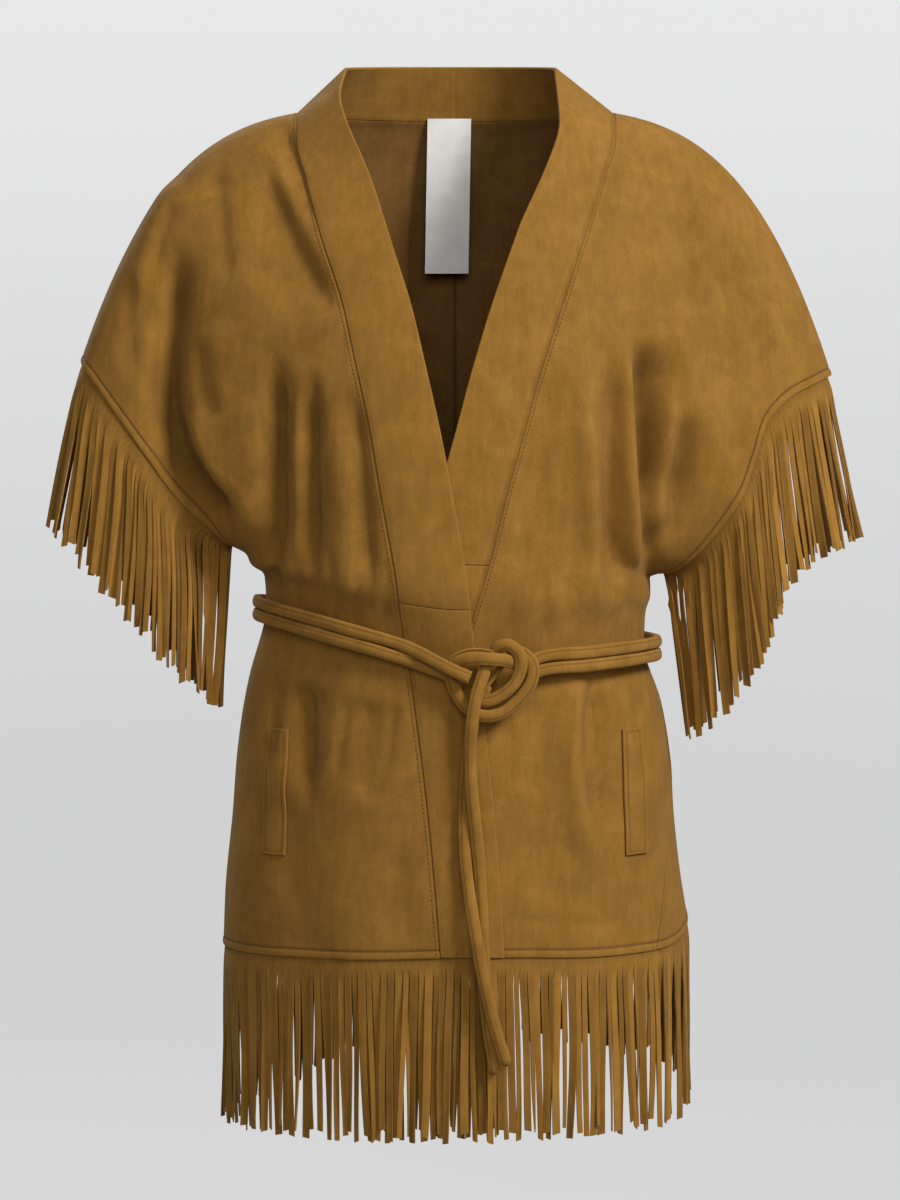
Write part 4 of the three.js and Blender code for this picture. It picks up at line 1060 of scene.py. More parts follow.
def sewing_piece(name, lines, props):
    """The rows of stitches of one panel as one piece."""
    bm = bmesh.new()
    for points, normals in lines:
        stitch_row(bm, points, normals, props.stitch_pitch / MM, props.stitch_long / MM, props.thread / MM)
    mesh = bpy.data.meshes.new(name)
    bm.to_mesh(mesh)
    bm.free()
    mesh.shade_smooth()
    thing = new_object(name, mesh, ["Sewing thread"])
    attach(thing, "root")


# Materials
def set_or_link(socket, value):
    """Gives a socket a number or a colour, or links it to the output that carries one."""
    if isinstance(value, (int, float, tuple)):
        socket.default_value = value
    else:
        socket.id_data.links.new(value, socket)


def math_node(nodes, operation, first, second):
    node = nodes.new("ShaderNodeMath")
    node.operation = operation
    set_or_link(node.inputs[0], first)
    set_or_link(node.inputs[1], second)
    return node.outputs[0]


def mix_colour(nodes, factor, first, second, blend="MIX"):
    node = nodes.new("ShaderNodeMix")
    node.data_type = "RGBA"
    node.blend_type = blend
    for socket, value in ((node.inputs[0], factor), (node.inputs[6], first), (node.inputs[7], second)):
        set_or_link(socket, value)
    return node.outputs[2]


def noise_node(nodes, vector, scale, detail, rough, distort=0.0):
    node = nodes.new("ShaderNodeTexNoise")
    node.inputs["Detail"].default_value = detail
    node.inputs["Roughness"].default_value = rough
    node.inputs["Distortion"].default_value = distort
    set_or_link(node.inputs["Vector"], vector)
    set_or_link(node.inputs["Scale"], scale)
    return node.outputs["Fac"]


def scaled_vector(nodes, vector, scale):
    node = nodes.new("ShaderNodeMapping")
    node.inputs["Scale"].default_value = scale
    node.id_data.links.new(vector, node.inputs["Vector"])
    return node.outputs["Vector"]


def stretch_range(nodes, value, low, high, to_low, to_high):
    node = nodes.new("ShaderNodeMapRange")
    node.id_data.links.new(value, node.inputs["Value"])
    for name, number in (("From Min", low), ("From Max", high), ("To Min", to_low), ("To Max", to_high)):
        node.inputs[name].default_value = number
    return node.outputs["Result"]


def nap_group():
    """Suede nap: patches where the pile lies either way, brushed streaks and fine grain."""
    group = bpy.data.node_groups.new("Suede nap", "ShaderNodeTree")
    for kind, names in (
        ("Vector", ("Place",)),
        ("Color", ("Body", "Deep", "Brushed")),
        ("Float", ("Tone", "Wear And Highlight", "Dark", "Patch Size", "Grain Size")),
    ):
        for name in names:
            group.interface.new_socket(name=name, in_out="INPUT", socket_type=f"NodeSocket{kind}")
    for name, kind in (("Colour", "Color"), ("Roughness", "Float"), ("Height", "Float")):
        group.interface.new_socket(name=name, in_out="OUTPUT", socket_type=f"NodeSocket{kind}")
    nodes = group.nodes
    links = group.links
    given = nodes.new("NodeGroupInput").outputs
    taken = nodes.new("NodeGroupOutput").inputs
    place = given["Place"]
    patches = noise_node(nodes, place, given["Patch Size"], 4.0, 0.55, 0.6)
    smudges = noise_node(nodes, place, 42.0, 3.0, 0.5, 0.8)
    streaks = noise_node(nodes, scaled_vector(nodes, place, (1.0, 1.0, 0.22)), 190.0, 3.0, 0.55, 0.4)
    grain = noise_node(nodes, place, given["Grain Size"], 3.0, 0.6)
    pores = noise_node(nodes, place, 2600.0, 2.0, 0.5)
    patch_share = stretch_range(nodes, patches, 0.34, 0.66, 0.0, 1.0)
    smudge_share = stretch_range(nodes, smudges, 0.42, 0.72, 0.0, 0.55)
    colour = mix_colour(nodes, patch_share, given["Deep"], given["Body"])
    colour = mix_colour(nodes, smudge_share, colour, given["Brushed"])
    streak_light = stretch_range(nodes, streaks, 0.3, 0.7, 0.91, 1.09)
    grain_light = stretch_range(nodes, grain, 0.25, 0.75, 0.84, 1.16)
    tone_light = stretch_range(nodes, given["Tone"], 0.0, 1.0, 0.74, 1.22)
    light = math_node(nodes, "MULTIPLY", streak_light, grain_light)
    light = math_node(nodes, "MULTIPLY", light, tone_light)
    grey = nodes.new("ShaderNodeCombineColor")
    for name in ("Red", "Green", "Blue"):
        links.new(light, grey.inputs[name])
    colour = mix_colour(nodes, 1.0, colour, grey.outputs["Color"], "MULTIPLY")
    # Lighter towards the brushed colour for wear and for the painted highlight on fold ridges; darker for
    # seams and stitches and for the painted shade in folds and the painted shadow below the hem
    wear_and_highlight_streaks = stretch_range(nodes, streaks, 0.3, 0.7, 0.35, 0.8)
    wear_and_highlight_share = math_node(nodes, "MULTIPLY", given["Wear And Highlight"], wear_and_highlight_streaks)
    colour = mix_colour(nodes, wear_and_highlight_share, colour, given["Brushed"])
    dark_share = math_node(nodes, "MULTIPLY", given["Dark"], 0.62)
    colour = mix_colour(nodes, dark_share, colour, (0.03, 0.015, 0.004, 1.0))
    links.new(colour, taken["Colour"])
    rough = stretch_range(nodes, smudges, 0.3, 0.7, 0.97, 0.82)
    links.new(rough, taken["Roughness"])
    height = math_node(nodes, "MULTIPLY", streaks, 0.5)
    height = math_node(nodes, "ADD", height, math_node(nodes, "MULTIPLY", grain, 0.6))
    height = math_node(nodes, "ADD", height, math_node(nodes, "MULTIPLY", pores, 0.3))
    links.new(height, taken["Height"])
    return group


def attribute_value(nodes, name):
    node = nodes.new("ShaderNodeAttribute")
    node.attribute_name = name
    return node.outputs["Fac"]


def lighter(colour, share):
    return tuple(min(1.0, part * share) for part in colour) + (1.0,)


def new_material(name):
    """A new material's nodes, its links and its shader."""
    material = bpy.data.materials.new(name)
    material.use_nodes = True
    nodes = material.node_tree.nodes
    return nodes, material.node_tree.links, nodes["Principled BSDF"]


def add_relief(nodes, links, shader, height, strength, distance):
    relief = nodes.new("ShaderNodeBump")
    relief.inputs["Strength"].default_value = strength
    relief.inputs["Distance"].default_value = distance
    links.new(height, relief.inputs["Height"])
    links.new(relief.outputs["Normal"], shader.inputs["Normal"])


def suede_material(name, group, colour, deep, brushed_and_highlight, patch, grain, bump, sheen):
    """Napped suede from one body colour."""
    nodes, links, shader = new_material(name)
    nap = nodes.new("ShaderNodeGroup")
    nap.node_tree = group
    place = nodes.new("ShaderNodeTexCoord").outputs["Object"]
    links.new(place, nap.inputs["Place"])
    nap.inputs["Body"].default_value = lighter(colour, 1.0)
    nap.inputs["Deep"].default_value = lighter(colour, deep)
    nap.inputs["Brushed"].default_value = lighter(colour, brushed_and_highlight)
    nap.inputs["Patch Size"].default_value = patch
    nap.inputs["Grain Size"].default_value = grain
    for attribute, socket in (("tone", "Tone"), ("wear_and_highlight", "Wear And Highlight"), ("dark", "Dark")):
        links.new(attribute_value(nodes, attribute), nap.inputs[socket])
    add_relief(nodes, links, shader, nap.outputs["Height"], bump, 0.0007)
    links.new(nap.outputs["Colour"], shader.inputs["Base Color"])
    links.new(nap.outputs["Roughness"], shader.inputs["Roughness"])
    shader.inputs["Sheen Weight"].default_value = sheen
    shader.inputs["Sheen Roughness"].default_value = 0.55
    shader.inputs["Sheen Tint"].default_value = (0.92, 0.64, 0.3, 1.0)
    shader.inputs["Specular IOR Level"].default_value = 0.12


def plain_fibre_material(name, colour, ribs_scale, rough, sheen):
    """Thread and ribbon: fine ribs across, with a soft glow."""
    nodes, links, shader = new_material(name)
    place = nodes.new("ShaderNodeTexCoord").outputs["Object"]
    ribs = nodes.new("ShaderNodeTexWave")
    ribs.inputs["Scale"].default_value = ribs_scale
    ribs.inputs["Distortion"].default_value = 0.6
    ribs.bands_direction = "Z"
    links.new(place, ribs.inputs["Vector"])
    clouds = noise_node(nodes, place, 60.0, 3.0, 0.5)
    light = stretch_range(nodes, clouds, 0.3, 0.7, 0.0, 1.0)
    body = mix_colour(nodes, light, lighter(colour, 0.9), lighter(colour, 1.06))
    lines = stretch_range(nodes, ribs.outputs["Fac"], 0.0, 1.0, 0.0, 0.18)
    body = mix_colour(nodes, lines, body, lighter(colour, 0.7))
    add_relief(nodes, links, shader, ribs.outputs["Fac"], 0.3, 0.0002)
    links.new(body, shader.inputs["Base Color"])
    uneven = stretch_range(nodes, clouds, 0.3, 0.7, rough - 0.06, rough + 0.06)
    links.new(uneven, shader.inputs["Roughness"])
    shader.inputs["Sheen Weight"].default_value = sheen


class CapeSuede(bpy.types.PropertyGroup):
    body: bpy.props.FloatVectorProperty(
        name="Nap colour", description="Body colour of the napped side", subtype="COLOR",
        size=3, min=0, max=1, default=(0.29, 0.142, 0.0245))
    flesh: bpy.props.FloatVectorProperty(
        name="Flesh colour", description="Body colour of the inner side", subtype="COLOR",
        size=3, min=0, max=1, default=(0.19, 0.094, 0.024))
    cut: bpy.props.FloatVectorProperty(
        name="Cut edge colour", description="Colour of the raw cut edges", subtype="COLOR",
        size=3, min=0, max=1, default=(0.33, 0.17, 0.042))
    thread_colour: bpy.props.FloatVectorProperty(
        name="Thread colour", description="Colour of the sewing thread", subtype="COLOR",
        size=3, min=0, max=1, default=(0.13, 0.06, 0.012))
    ribbon: bpy.props.FloatVectorProperty(
        name="Label colour", description="Colour of the blank neck label", subtype="COLOR",
        size=3, min=0, max=1, default=(0.85, 0.835, 0.808))
    nap_bump: bpy.props.FloatProperty(
        name="Nap relief", description="Strength of the nap's relief", default=0.55, min=0, max=1)


class CapeSizes(bpy.types.PropertyGroup):
    panel_thick: bpy.props.FloatProperty(
        name="Panel thickness", description="Thickness of the suede panels", default=0.0014, unit="LENGTH")
    band_thick: bpy.props.FloatProperty(
        name="Band thickness", description="Thickness of the doubled band", default=0.0024, unit="LENGTH")
    fringe_thick: bpy.props.FloatProperty(
        name="Fringe thickness", description="Thickness of the fringe", default=0.0010, unit="LENGTH")
    hem_fringe: bpy.props.FloatProperty(
        name="Hem fringe", description="Length of the hem fringe below the hem",
        default=0.135, unit="LENGTH")
    sleeve_fringe: bpy.props.FloatProperty(
        name="Sleeve fringe", description="Length of the sleeve fringe", default=0.127, unit="LENGTH")
    strand_pitch: bpy.props.FloatProperty(
        name="Strand width", description="Width that each strand is cut to", default=0.0056, unit="LENGTH")
    stitch_pitch: bpy.props.FloatProperty(
        name="Stitch pitch", description="From one stitch to the next", default=0.0034, unit="LENGTH")
    stitch_long: bpy.props.FloatProperty(
        name="Stitch length", description="Length of a stitch", default=0.0026, unit="LENGTH")
    thread: bpy.props.FloatProperty(
        name="Thread", description="Thickness of the thread", default=0.00065, unit="LENGTH")


class CapeStudio(bpy.types.PropertyGroup):
    key: bpy.props.FloatProperty(
        name="Key light", description="Power of the main soft light", default=80.0, min=0, unit="POWER")
    front: bpy.props.FloatProperty(
        name="Front light", description="Power of the weak light from the front",
        default=19.0, min=0, unit="POWER")
    air: bpy.props.FloatProperty(
        name="Surrounding light", description="Strength of the even surrounding light",
        default=0.24, min=0)
    paper: bpy.props.FloatProperty(
        name="Paper glow", description="How far the backdrop is lit by itself", default=1.0, min=0)
    floor_z: bpy.props.FloatProperty(
        name="Floor height", description="Height of the studio floor", default=-1.32, unit="LENGTH")


# The grids of the panels and bands made so far, which the fringe and the stitches follow
MADE = {}


class CAPE_OT_camera(bpy.types.Operator):
    """Place the camera where the photograph was taken from"""
    bl_idname = "cape.camera"
    bl_label = "Camera"

    def execute(self, context):
        focus_px = 2944.0
        frame_high_px = 1200.0
        frame_middle_px = (450.0, 600.0)
        straight_ahead_px = (455.0, 470.0)
        lens = bpy.data.cameras.new("Camera")
        lens.sensor_fit = "AUTO"
        lens.sensor_width = 36.0
        lens.lens = 36.0 * focus_px / frame_high_px
        lens.shift_x = (frame_middle_px[0] - straight_ahead_px[0]) / frame_high_px
        lens.dof.use_dof = False
        camera = bpy.data.objects.new("Camera", lens)
        camera.location = (0.0, -2.3, -0.277)
        tilt = math.atan((frame_middle_px[1] - straight_ahead_px[1]) / focus_px)
        camera.rotation_euler = (QUARTER - tilt, 0.0, 0.0)
        context.scene.collection.objects.link(camera)
        context.scene.camera = camera
        return {"FINISHED"}


class CAPE_OT_materials(bpy.types.Operator):
    """Make the suede, thread and ribbon"""
    bl_idname = "cape.materials"
    bl_label = "Materials"

    def execute(self, context):
        suede = context.scene.cape_suede
        group = nap_group()
        body = tuple(suede.body)
        suede_material(
            "Suede nap side", group, body, deep=0.86, brushed_and_highlight=1.24, patch=9.5, grain=900.0,
            bump=suede.nap_bump, sheen=0.14)
        suede_material(
            "Suede band", group, body, deep=0.9, brushed_and_highlight=1.25, patch=14.0, grain=950.0,
            bump=suede.nap_bump * 0.9, sheen=0.14)
        suede_material(
            "Suede cord", group, body, deep=0.9, brushed_and_highlight=1.4, patch=30.0, grain=1100.0,
            bump=suede.nap_bump, sheen=0.16)
        suede_material(
            "Suede flesh side", group, tuple(suede.flesh), deep=0.78, brushed_and_highlight=1.2, patch=20.0, grain=700.0,
            bump=0.8, sheen=0.12)
        suede_material(
            "Suede cut edge", group, tuple(suede.cut), deep=0.8, brushed_and_highlight=1.2, patch=60.0, grain=1400.0,
            bump=0.7, sheen=0.1)
        plain_fibre_material(
            "Sewing thread", tuple(suede.thread_colour), ribs_scale=900.0, rough=0.6, sheen=0.1)
        plain_fibre_material(
            "Blank ribbon", tuple(suede.ribbon), ribs_scale=420.0, rough=0.5, sheen=0.25)
        return {"FINISHED"}


class CAPE_OT_tails(bpy.types.Operator):
    """Hang the two free ends of the belt from its knot"""
    bl_idname = "cape.tails"
    bl_label = "Belt tails"

    def execute(self, context):
        for name, points, seed in (("front", FRONT_TAIL, 0.4), ("back", BACK_TAIL, 2.1)):
            path = smooth_path(points, 90)
            mesh = strand_mesh(f"belt_end_{name}", path, (0, -1, 0), CORD["wide"], CORD["deep"], seed)
            tail = new_object(f"belt_end_{name}", mesh, ["Suede cord"])
            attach(tail, "root")
            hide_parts(f"belt_tail_{name}")
        return {"FINISHED"}


class CAPE_OT_belt(bpy.types.Operator):
    """Lay the doubled cord round the waist and tie its knot"""
    bl_idname = "cape.belt"
    bl_label = "Belt and knot"

    def execute(self, context):
        for name, drop, seed in (("upper", -BELT_DROP, 0.7), ("lower", BELT_DROP, 1.9)):
            path = smooth_path(belt_path(drop), 300, 0.0 if drop < 0 else 0.02, 0.98)
            mesh = strand_mesh(
                f"belt_{name}", path, belt_outward(path), CORD["wide"], CORD["deep"], seed, rounded=False)
            strand = new_object(f"belt_{name}", mesh, ["Suede cord"])
            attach(strand, "root")
            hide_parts(f"belt_waist_{name}")
        knot = joined_object("belt_slip_knot", [
            strand_mesh(f"turn {name}", smooth_path(points, 70), (0, -1, 0), wide, deep, seed)
            for name, points, wide, deep, seed in knot_turns()
        ], ["Suede cord"])
        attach(knot, "root")
        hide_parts("belt_knot")
        return {"FINISHED"}


def knot_turns():
    """The runs of cord in the knot: an outer loop, an inner coil and the strand that crosses them."""
    outer = [
        (0, -121, -418), (-3, -122, -428), (1, -124, -442), (9, -125, -453), (21, -126, -459),
        (34, -126, -457), (48, -126, -446), (57, -126, -432), (57, -125, -420), (49, -124, -412),
        (38, -122, -411),
    ]
    inner = [
        (30, -123, -417), (31, -128, -409), (39, -131, -406), (47, -131, -412), (49, -130, -421),
        (45, -129, -433), (35, -128, -443), (23, -126, -448), (14, -123, -446),
    ]
    across = [
        (-5, -123, -427), (1, -128, -420), (11, -134, -416.3), (24, -137, -416), (35, -134, -417),
        (43, -127, -419), (50, -121, -422),
    ]
    rim = [
        (-8, -122, -432), (-7, -123, -424), (-3, -125, -416), (4, -127, -411.5), (14, -129, -409.3),
        (25, -129, -410.4), (34, -127, -412.5),
    ]
    inside = [(36, -119, -420), (31, -122, -427), (24, -124, -436), (20, -124, -442)]
    tail_root = [(31, -124, -409), (27, -129, -415), (23, -131, -421), (19.5, -132.3, -429)]
    wide = CORD["wide"]
    deep = CORD["deep"]
    return [
        ("outer", outer, wide, deep, 0.2), ("inner", inner, wide, deep, 1.4),
        ("across", across, wide * 1.1, deep * 0.9, 2.6), ("rim", rim, 2.2, 4.0, 3.3),
        ("inside", inside, 4.4, 3.4, 4.1), ("tail root", tail_root, wide * 0.95, deep * 0.93, 5.2),
    ]


class CAPE_OT_panels(bpy.types.Operator):
    """Cut the fronts and backs with their hems and creases"""
    bl_idname = "cape.panels"
    bl_label = "Fronts and backs"

    def execute(self, context):
        sizes = context.scene.cape_sizes
        cuts = {
            "front_right": (front_panel(-1), (0.27, 0.70), 0.142),
            "front_left": (front_panel(1), (0.26, 0.70), 0.137),
            "back_right": (back_panel(-1), (0.31, 0.66), 0.157),
            "back_left": (back_panel(1), (0.31, 0.66), 0.161),
        }
        finish = ["Suede nap side", "Suede flesh side", "Suede cut edge"]
        for node, (grids, flat, area) in cuts.items():
            MADE[node] = grids
            thing = cloth_piece(f"{node}_suede", grids, sizes.panel_thick / MM, finish, node)
        return {"FINISHED"}


class CAPE_OT_bands(bpy.types.Operator):
    """Cut the doubled neckband, joined across on each front"""
    bl_idname = "cape.bands"
    bl_label = "Neckband"

    def execute(self, context):
        sizes = context.scene.cape_sizes
        joins = {side: level_at_height(BAND_EDGES[side], height) for side, height in JOIN_HEIGHT.items()}
        cuts = {
            "band_lower_right": (band_strip(-1, 0, joins["right"], False), (0.05, 0.28)),
            "band_upper_right": (band_strip(-1, joins["right"], TOP, True), (0.05, 0.58)),
            "band_lower_left": (band_strip(1, 0, joins["left"], False), (0.05, 0.30)),
            "band_upper_left": (band_strip(1, joins["left"], TOP, True), (0.05, 0.56)),
        }
        for node, (grids, flat) in cuts.items():
            MADE[node] = grids
            thing = cloth_piece(
                f"{node}_suede", grids, sizes.band_thick / MM, ["Suede band"] * 3, node,
                round_edge=0.8)
        return {"FINISHED"}


class CAPE_OT_hem_fringe(bpy.types.Operator):
    """Hang the cut fringe under the hem"""
    bl_idname = "cape.hem_fringe"
    bl_label = "Hem fringe"

    def execute(self, context):
        sizes = context.scene.cape_sizes
        runs = {
            "right": (["front_right", "band_lower_right"], 0.0, 0.3),
            "left": (["band_lower_left", "front_left"], -0.01, 1.1),
            "back": (["back_left", "back_right"], 0.01, 2.3),
        }
        for name, (panels, lean, seed) in runs.items():
            points = np.vstack([MADE[panel][0][0] for panel in panels])
            inside = np.vstack([MADE[panel][0][INSIDE_STEP] for panel in panels])
            normals = np.vstack([MADE[panel][1][0] for panel in panels])
            run = edge_run(points, normals, inside)
            strands = int(round(run[1] / (sizes.strand_pitch / MM)))

            def lean_at(share, at=run[0], lean=lean):
                out = at(share)[1]
                out[:, 2] = 0
                return unit(out) * lean

            louvre = 0.0
            fringe_piece(
                f"hem_fringe_{name}", run, sizes.hem_fringe / MM, strands, lean_at, louvre, seed, sizes)
        return {"FINISHED"}


SLEEVE_ENDS = {"underarm": 0.055, "top": 0.02}
UNDERARM_LEAN = {"right": 0.07, "left": 0.16}
SLEEVE_LEAN = 0.22


class CAPE_OT_sleeve_fringe(bpy.types.Operator):
    """Hang the cut fringe round both sleeve mouths"""
    bl_idname = "cape.sleeve_fringe"
    bl_label = "Sleeve fringe"

    def execute(self, context):
        sizes = context.scene.cape_sizes
        above = LEVELS >= UNDERARM
        for side, name in ((-1, "right"), (1, "left")):
            for half in ("front", "back"):
                points, normals = MADE[f"{half}_{name}"][:2]
                first = (side < 0) == (half == "front")
                edge = 0 if first else -1
                inner = INSIDE_STEP if first else -INSIDE_STEP - 1
                run_points = points[above][:, edge]
                run_normals = normals[above][:, edge]
                inside = points[above][:, inner]
                upwards = (side > 0) == (half == "front")
                if not upwards:
                    run_points = run_points[::-1]
                    run_normals = run_normals[::-1]
                    inside = inside[::-1]
                run = edge_run(run_points, run_normals, inside)
                low = SLEEVE_ENDS["underarm"]
                high = 1 - SLEEVE_ENDS["top"]
                ends = (low, high) if upwards else (1 - high, 1 - low)
                strands = int(round(run[1] * (high - low) / (sizes.strand_pitch / MM)))

                def lean_at(share, upwards=upwards, side=side, name=name, half=half):
                    up = share if upwards else 1 - share
                    lean = SLEEVE_LEAN * up ** 1.5 + UNDERARM_LEAN[name] * (1 - up) ** 2
                    forward = -0.02 if half == "front" else 0.02
                    return np.stack([side * lean, np.full_like(lean, forward), 0 * lean], axis=-1)

                louvre = -0.22 if upwards else -0.45
                seed = side + (0.5 if half == "front" else 1.7)
                fringe_piece(
                    f"sleeve_fringe_{name}_{half}", run, sizes.sleeve_fringe / MM, strands, lean_at, louvre,
                    seed, sizes, ends)
        return {"FINISHED"}


class CAPE_OT_pockets(bpy.types.Operator):
    """Sew a pocket welt on each front"""
    bl_idname = "cape.pockets"
    bl_label = "Pocket welts"

    def execute(self, context):
        long = 96.0
        wide = 17.0
        thick = 1.6
        foot = -570
        inner_edge = 128
        stitch_line = 2.4
        edge_steps = np.array([0, 0.6, 1.4, stitch_line, 3.6])
        for side, name in ((-1, "right"), (1, "left")):
            down = spaced(long, 3.0, edge_steps, edge_steps)
            over = spaced(wide, 2.0, edge_steps, edge_steps)
            z = foot + down[:, None] + 0 * over[None, :]
            x = side * inner_edge + side * over[None, :] - side * 2 * (down[:, None] / long - 0.5)
            from_end = np.minimum(down, long - down)[:, None]
            from_side = np.minimum(over, wide - over)[None, :]
            edge = np.minimum(from_end, from_side)
            crown = 0.35 * smooth(edge / 2) - 0.35 * bump_at(edge, stitch_line, 0.6)
            points, normals = front_spot(x, z, HALF_WALL + 0.6 + thick / 2 + crown)
            wear_and_highlight = 0.7 * np.exp(-((edge / 0.8) ** 2))
            dark = 0.5 * bump_at(edge, stitch_line, 0.5)
            grids = [points, normals, wear_and_highlight, dark]
            if side < 0:
                grids = [grid[:, ::-1] for grid in grids]
            node = f"pocket_welt_{name}"
            thing = cloth_piece(
                f"{node}_suede", grids, thick, ["Suede band"] * 3, node, round_edge=0.5)
        return {"FINISHED"}


class CAPE_OT_label(bpy.types.Operator):
    """Hang the blank label inside the nape"""
    bl_idname = "cape.label"
    bl_label = "Neck label"

    def execute(self, context):
        long = 124.0
        down = np.linspace(0, 1, 36)[::-1, None]
        over = np.linspace(0, 1, 10)[None, ::-1]
        z = 5 - long * down + 0 * over
        y = NAPE_Y - 4.5 - 2.2 * np.sin(down * QUARTER) + 1.4 * down ** 2
        y = y + 0.5 * np.sin(over * math.pi) * down + 0.35 * np.sin(down * 9)
        x = -22 + 35 * over - 2.2 * down
        points = np.stack([x + 0 * z, y + 0 * z, z], axis=-1)
        normals = grid_normals(points)
        edge = np.minimum(over, 1 - over) * 35 + 0 * down
        dark = 0.15 * bump_at(edge, 1.5, 0.5)
        grids = [points, normals, 0 * dark, dark]
        thing = cloth_piece("nape_label_ribbon", grids, 0.7, ["Blank ribbon"] * 3, "nape_label")
        return {"FINISHED"}


class CAPE_OT_sewing(bpy.types.Operator):
    """Sew the rows of stitches on hems, sleeve ends and band seams"""
    bl_idname = "cape.sewing"
    bl_label = "Stitches"

    def execute(self, context):
        sizes = context.scene.cape_sizes
        above = LEVELS >= UNDERARM
        hem = HEM_STITCH_STEP
        clear = 2
        for node in ("front_right", "front_left", "back_right", "back_left"):
            points, normals = MADE[node][:2]
            half_thick = sizes.panel_thick / MM / 2
            outer = points + normals * half_thick
            lines = [(outer[hem, clear:-clear], normals[hem, clear:-clear])]
            side_first = node in ("front_right", "back_left")
            mouth = hem if side_first else -hem - 1
            lines.append((outer[above][hem:, mouth], normals[above][hem:, mouth]))
            if node.startswith("front"):
                band = -BAND_STITCH_STEP - 1 if side_first else BAND_STITCH_STEP
                lines.append((outer[clear:, band], normals[clear:, band]))
            sewing_piece(f"stitches_{node}", lines, sizes)
        return {"FINISHED"}


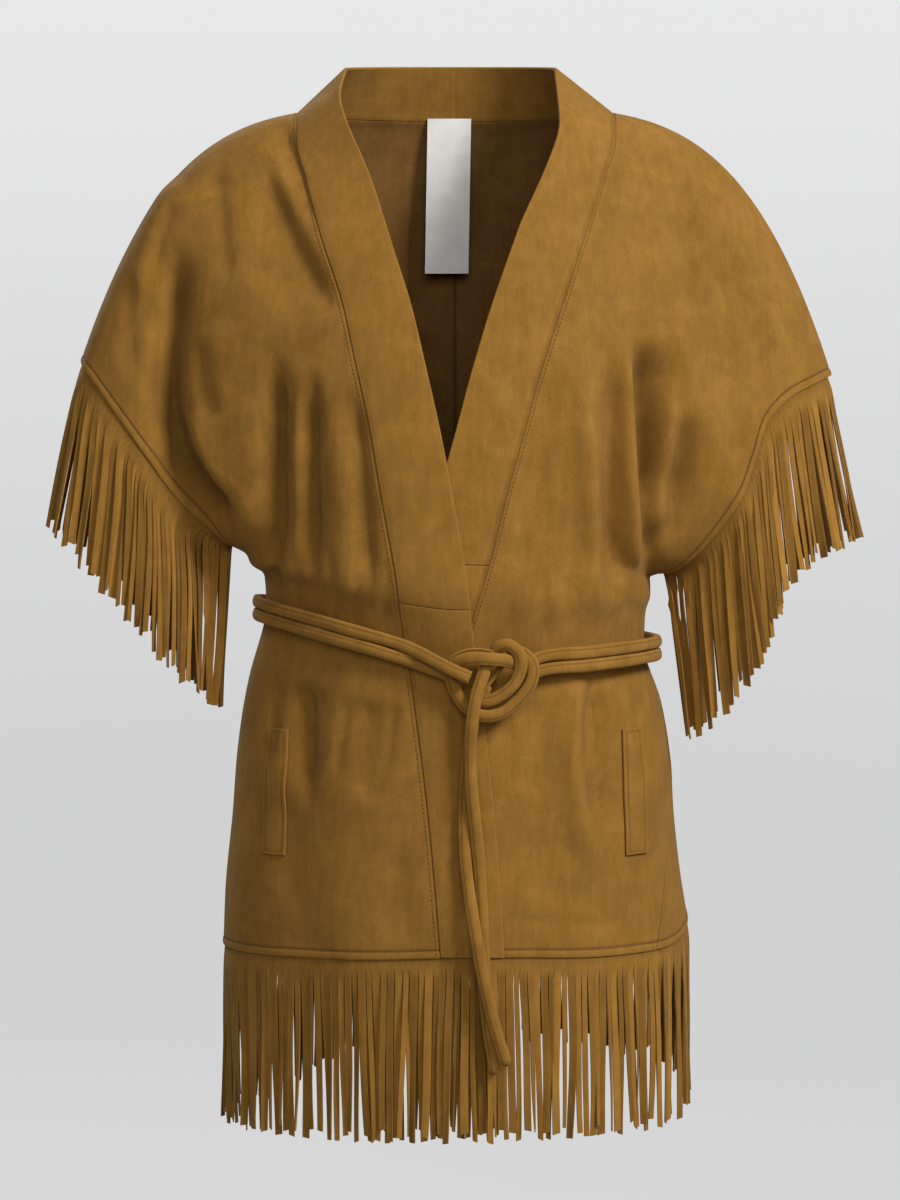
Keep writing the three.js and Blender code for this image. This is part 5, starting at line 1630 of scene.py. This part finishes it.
class CAPE_OT_studio(bpy.types.Operator):
    """Set the pale floor, the wall round it and the soft lights"""
    bl_idname = "cape.studio"
    bl_label = "Studio"

    def execute(self, context):
        studio = context.scene.cape_studio
        bm = bmesh.new()
        flat_radius = 3.0
        turn_radius = 3.6
        top = 7.0
        turns = 24
        profile = [(0.0, 0.0), (flat_radius / 2, 0.0), (flat_radius, 0.0)]
        for i in range(1, turns + 1):
            angle = i / turns * QUARTER
            out = flat_radius + turn_radius * math.sin(angle)
            profile.append((out, turn_radius * (1 - math.cos(angle))))
        profile.append((flat_radius + turn_radius, top))
        line = [bm.verts.new((x, 0.0, studio.floor_z + z)) for x, z in profile]
        for first, second in zip(line, line[1:]):
            bm.edges.new((first, second))
        bmesh.ops.spin(
            bm, geom=list(bm.verts) + list(bm.edges), cent=(0, 0, 0), axis=(0, 0, 1),
            angle=2 * math.pi, steps=64, use_merge=True)
        bmesh.ops.remove_doubles(bm, verts=bm.verts, dist=1e-4)
        bmesh.ops.recalc_face_normals(bm, faces=bm.faces)
        for face in bm.faces:
            if face.normal.z < -0.01:
                face.normal_flip()
        mesh = bpy.data.meshes.new("studio_floor")
        bm.to_mesh(mesh)
        bm.free()
        mesh.shade_smooth()
        nodes, links, shader = new_material("Pale paper")
        place = nodes.new("ShaderNodeTexCoord").outputs["Object"]
        clouds = noise_node(nodes, place, 1.2, 2.0, 0.5)
        split = nodes.new("ShaderNodeSeparateXYZ")
        links.new(place, split.inputs["Vector"])
        rise = stretch_range(nodes, split.outputs["Z"], -1.32, 1.0, 0.0, 1.0)
        glow = mix_colour(nodes, rise, (0.55, 0.55, 0.555, 1), (0.74, 0.74, 0.743, 1))
        shade = mix_colour(nodes, clouds, (0.17, 0.17, 0.172, 1), (0.18, 0.18, 0.181, 1))
        links.new(shade, shader.inputs["Base Color"])
        shader.inputs["Roughness"].default_value = 0.9
        links.new(glow, shader.inputs["Emission Color"])
        shader.inputs["Emission Strength"].default_value = studio.paper
        floor = new_object("studio_floor", mesh, ["Pale paper"])
        floor.visible_diffuse = False
        floor.visible_glossy = False
        floor.visible_shadow = False
        world = bpy.data.worlds.new("Studio air")
        world.use_nodes = True
        air = world.node_tree.nodes["Background"]
        air.inputs["Color"].default_value = (0.97, 0.98, 1.0, 1.0)
        air.inputs["Strength"].default_value = studio.air
        context.scene.world = world
        context.scene.view_settings.view_transform = "Standard"
        lamps = (
            ("Key", (1.8, -1.8, 1.5), 0.9, studio.key),
            ("Front", (0.05, -2.7, 0.6), 1.2, studio.front),
            ("Back", (-1.4, 2.3, 1.3), 1.2, studio.key * 0.4),
        )
        for name, spot, size, power in lamps:
            lamp = bpy.data.lights.new(name, "AREA")
            lamp.shape = "SQUARE"
            lamp.size = size
            lamp.energy = power
            lamp.color = (1.0, 0.985, 0.96)
            thing = bpy.data.objects.new(name, lamp)
            thing.location = spot
            aim = Vector((0.0, 0.0, -0.38)) - Vector(spot)
            thing.rotation_euler = aim.to_track_quat("-Z", "Y").to_euler()
            context.scene.collection.objects.link(thing)
        return {"FINISHED"}


class CAPE_PT_sidebar(bpy.types.Panel):
    """Lists the cape's pieces and sizes"""
    bl_idname = "CAPE_PT_sidebar"
    bl_label = "Suede cape"
    bl_space_type = "VIEW_3D"
    bl_region_type = "UI"
    bl_category = "Cape"

    def draw(self, context):
        layout = self.layout
        for group in (context.scene.cape_sizes, context.scene.cape_suede, context.scene.cape_studio):
            box = layout.box()
            for name in group.bl_rna.properties.keys():
                if name not in ("rna_type", "name"):
                    box.prop(group, name)
        for operator in STEPS:
            layout.operator(operator.bl_idname)


STEPS = (
    CAPE_OT_camera, CAPE_OT_materials, CAPE_OT_tails, CAPE_OT_belt, CAPE_OT_panels, CAPE_OT_bands,
    CAPE_OT_hem_fringe, CAPE_OT_sleeve_fringe, CAPE_OT_pockets, CAPE_OT_label, CAPE_OT_sewing,
    CAPE_OT_studio,
)
GROUPS = {"cape_suede": CapeSuede, "cape_sizes": CapeSizes, "cape_studio": CapeStudio}


def register():
    for kind in (*GROUPS.values(), *STEPS, CAPE_PT_sidebar):
        bpy.utils.register_class(kind)
    for name, kind in GROUPS.items():
        setattr(bpy.types.Scene, name, bpy.props.PointerProperty(type=kind))


def unregister():
    for name in GROUPS:
        delattr(bpy.types.Scene, name)
    for kind in reversed((*GROUPS.values(), *STEPS, CAPE_PT_sidebar)):
        bpy.utils.unregister_class(kind)


def main():
    register()
    bpy.ops.cape.camera()
    bpy.ops.cape.materials()
    bpy.ops.cape.tails()
    bpy.ops.cape.belt()
    bpy.ops.cape.panels()
    bpy.ops.cape.bands()
    bpy.ops.cape.hem_fringe()
    bpy.ops.cape.sleeve_fringe()
    bpy.ops.cape.pockets()
    bpy.ops.cape.label()
    bpy.ops.cape.sewing()
    bpy.ops.cape.studio()


if __name__ == "__main__":
    main()
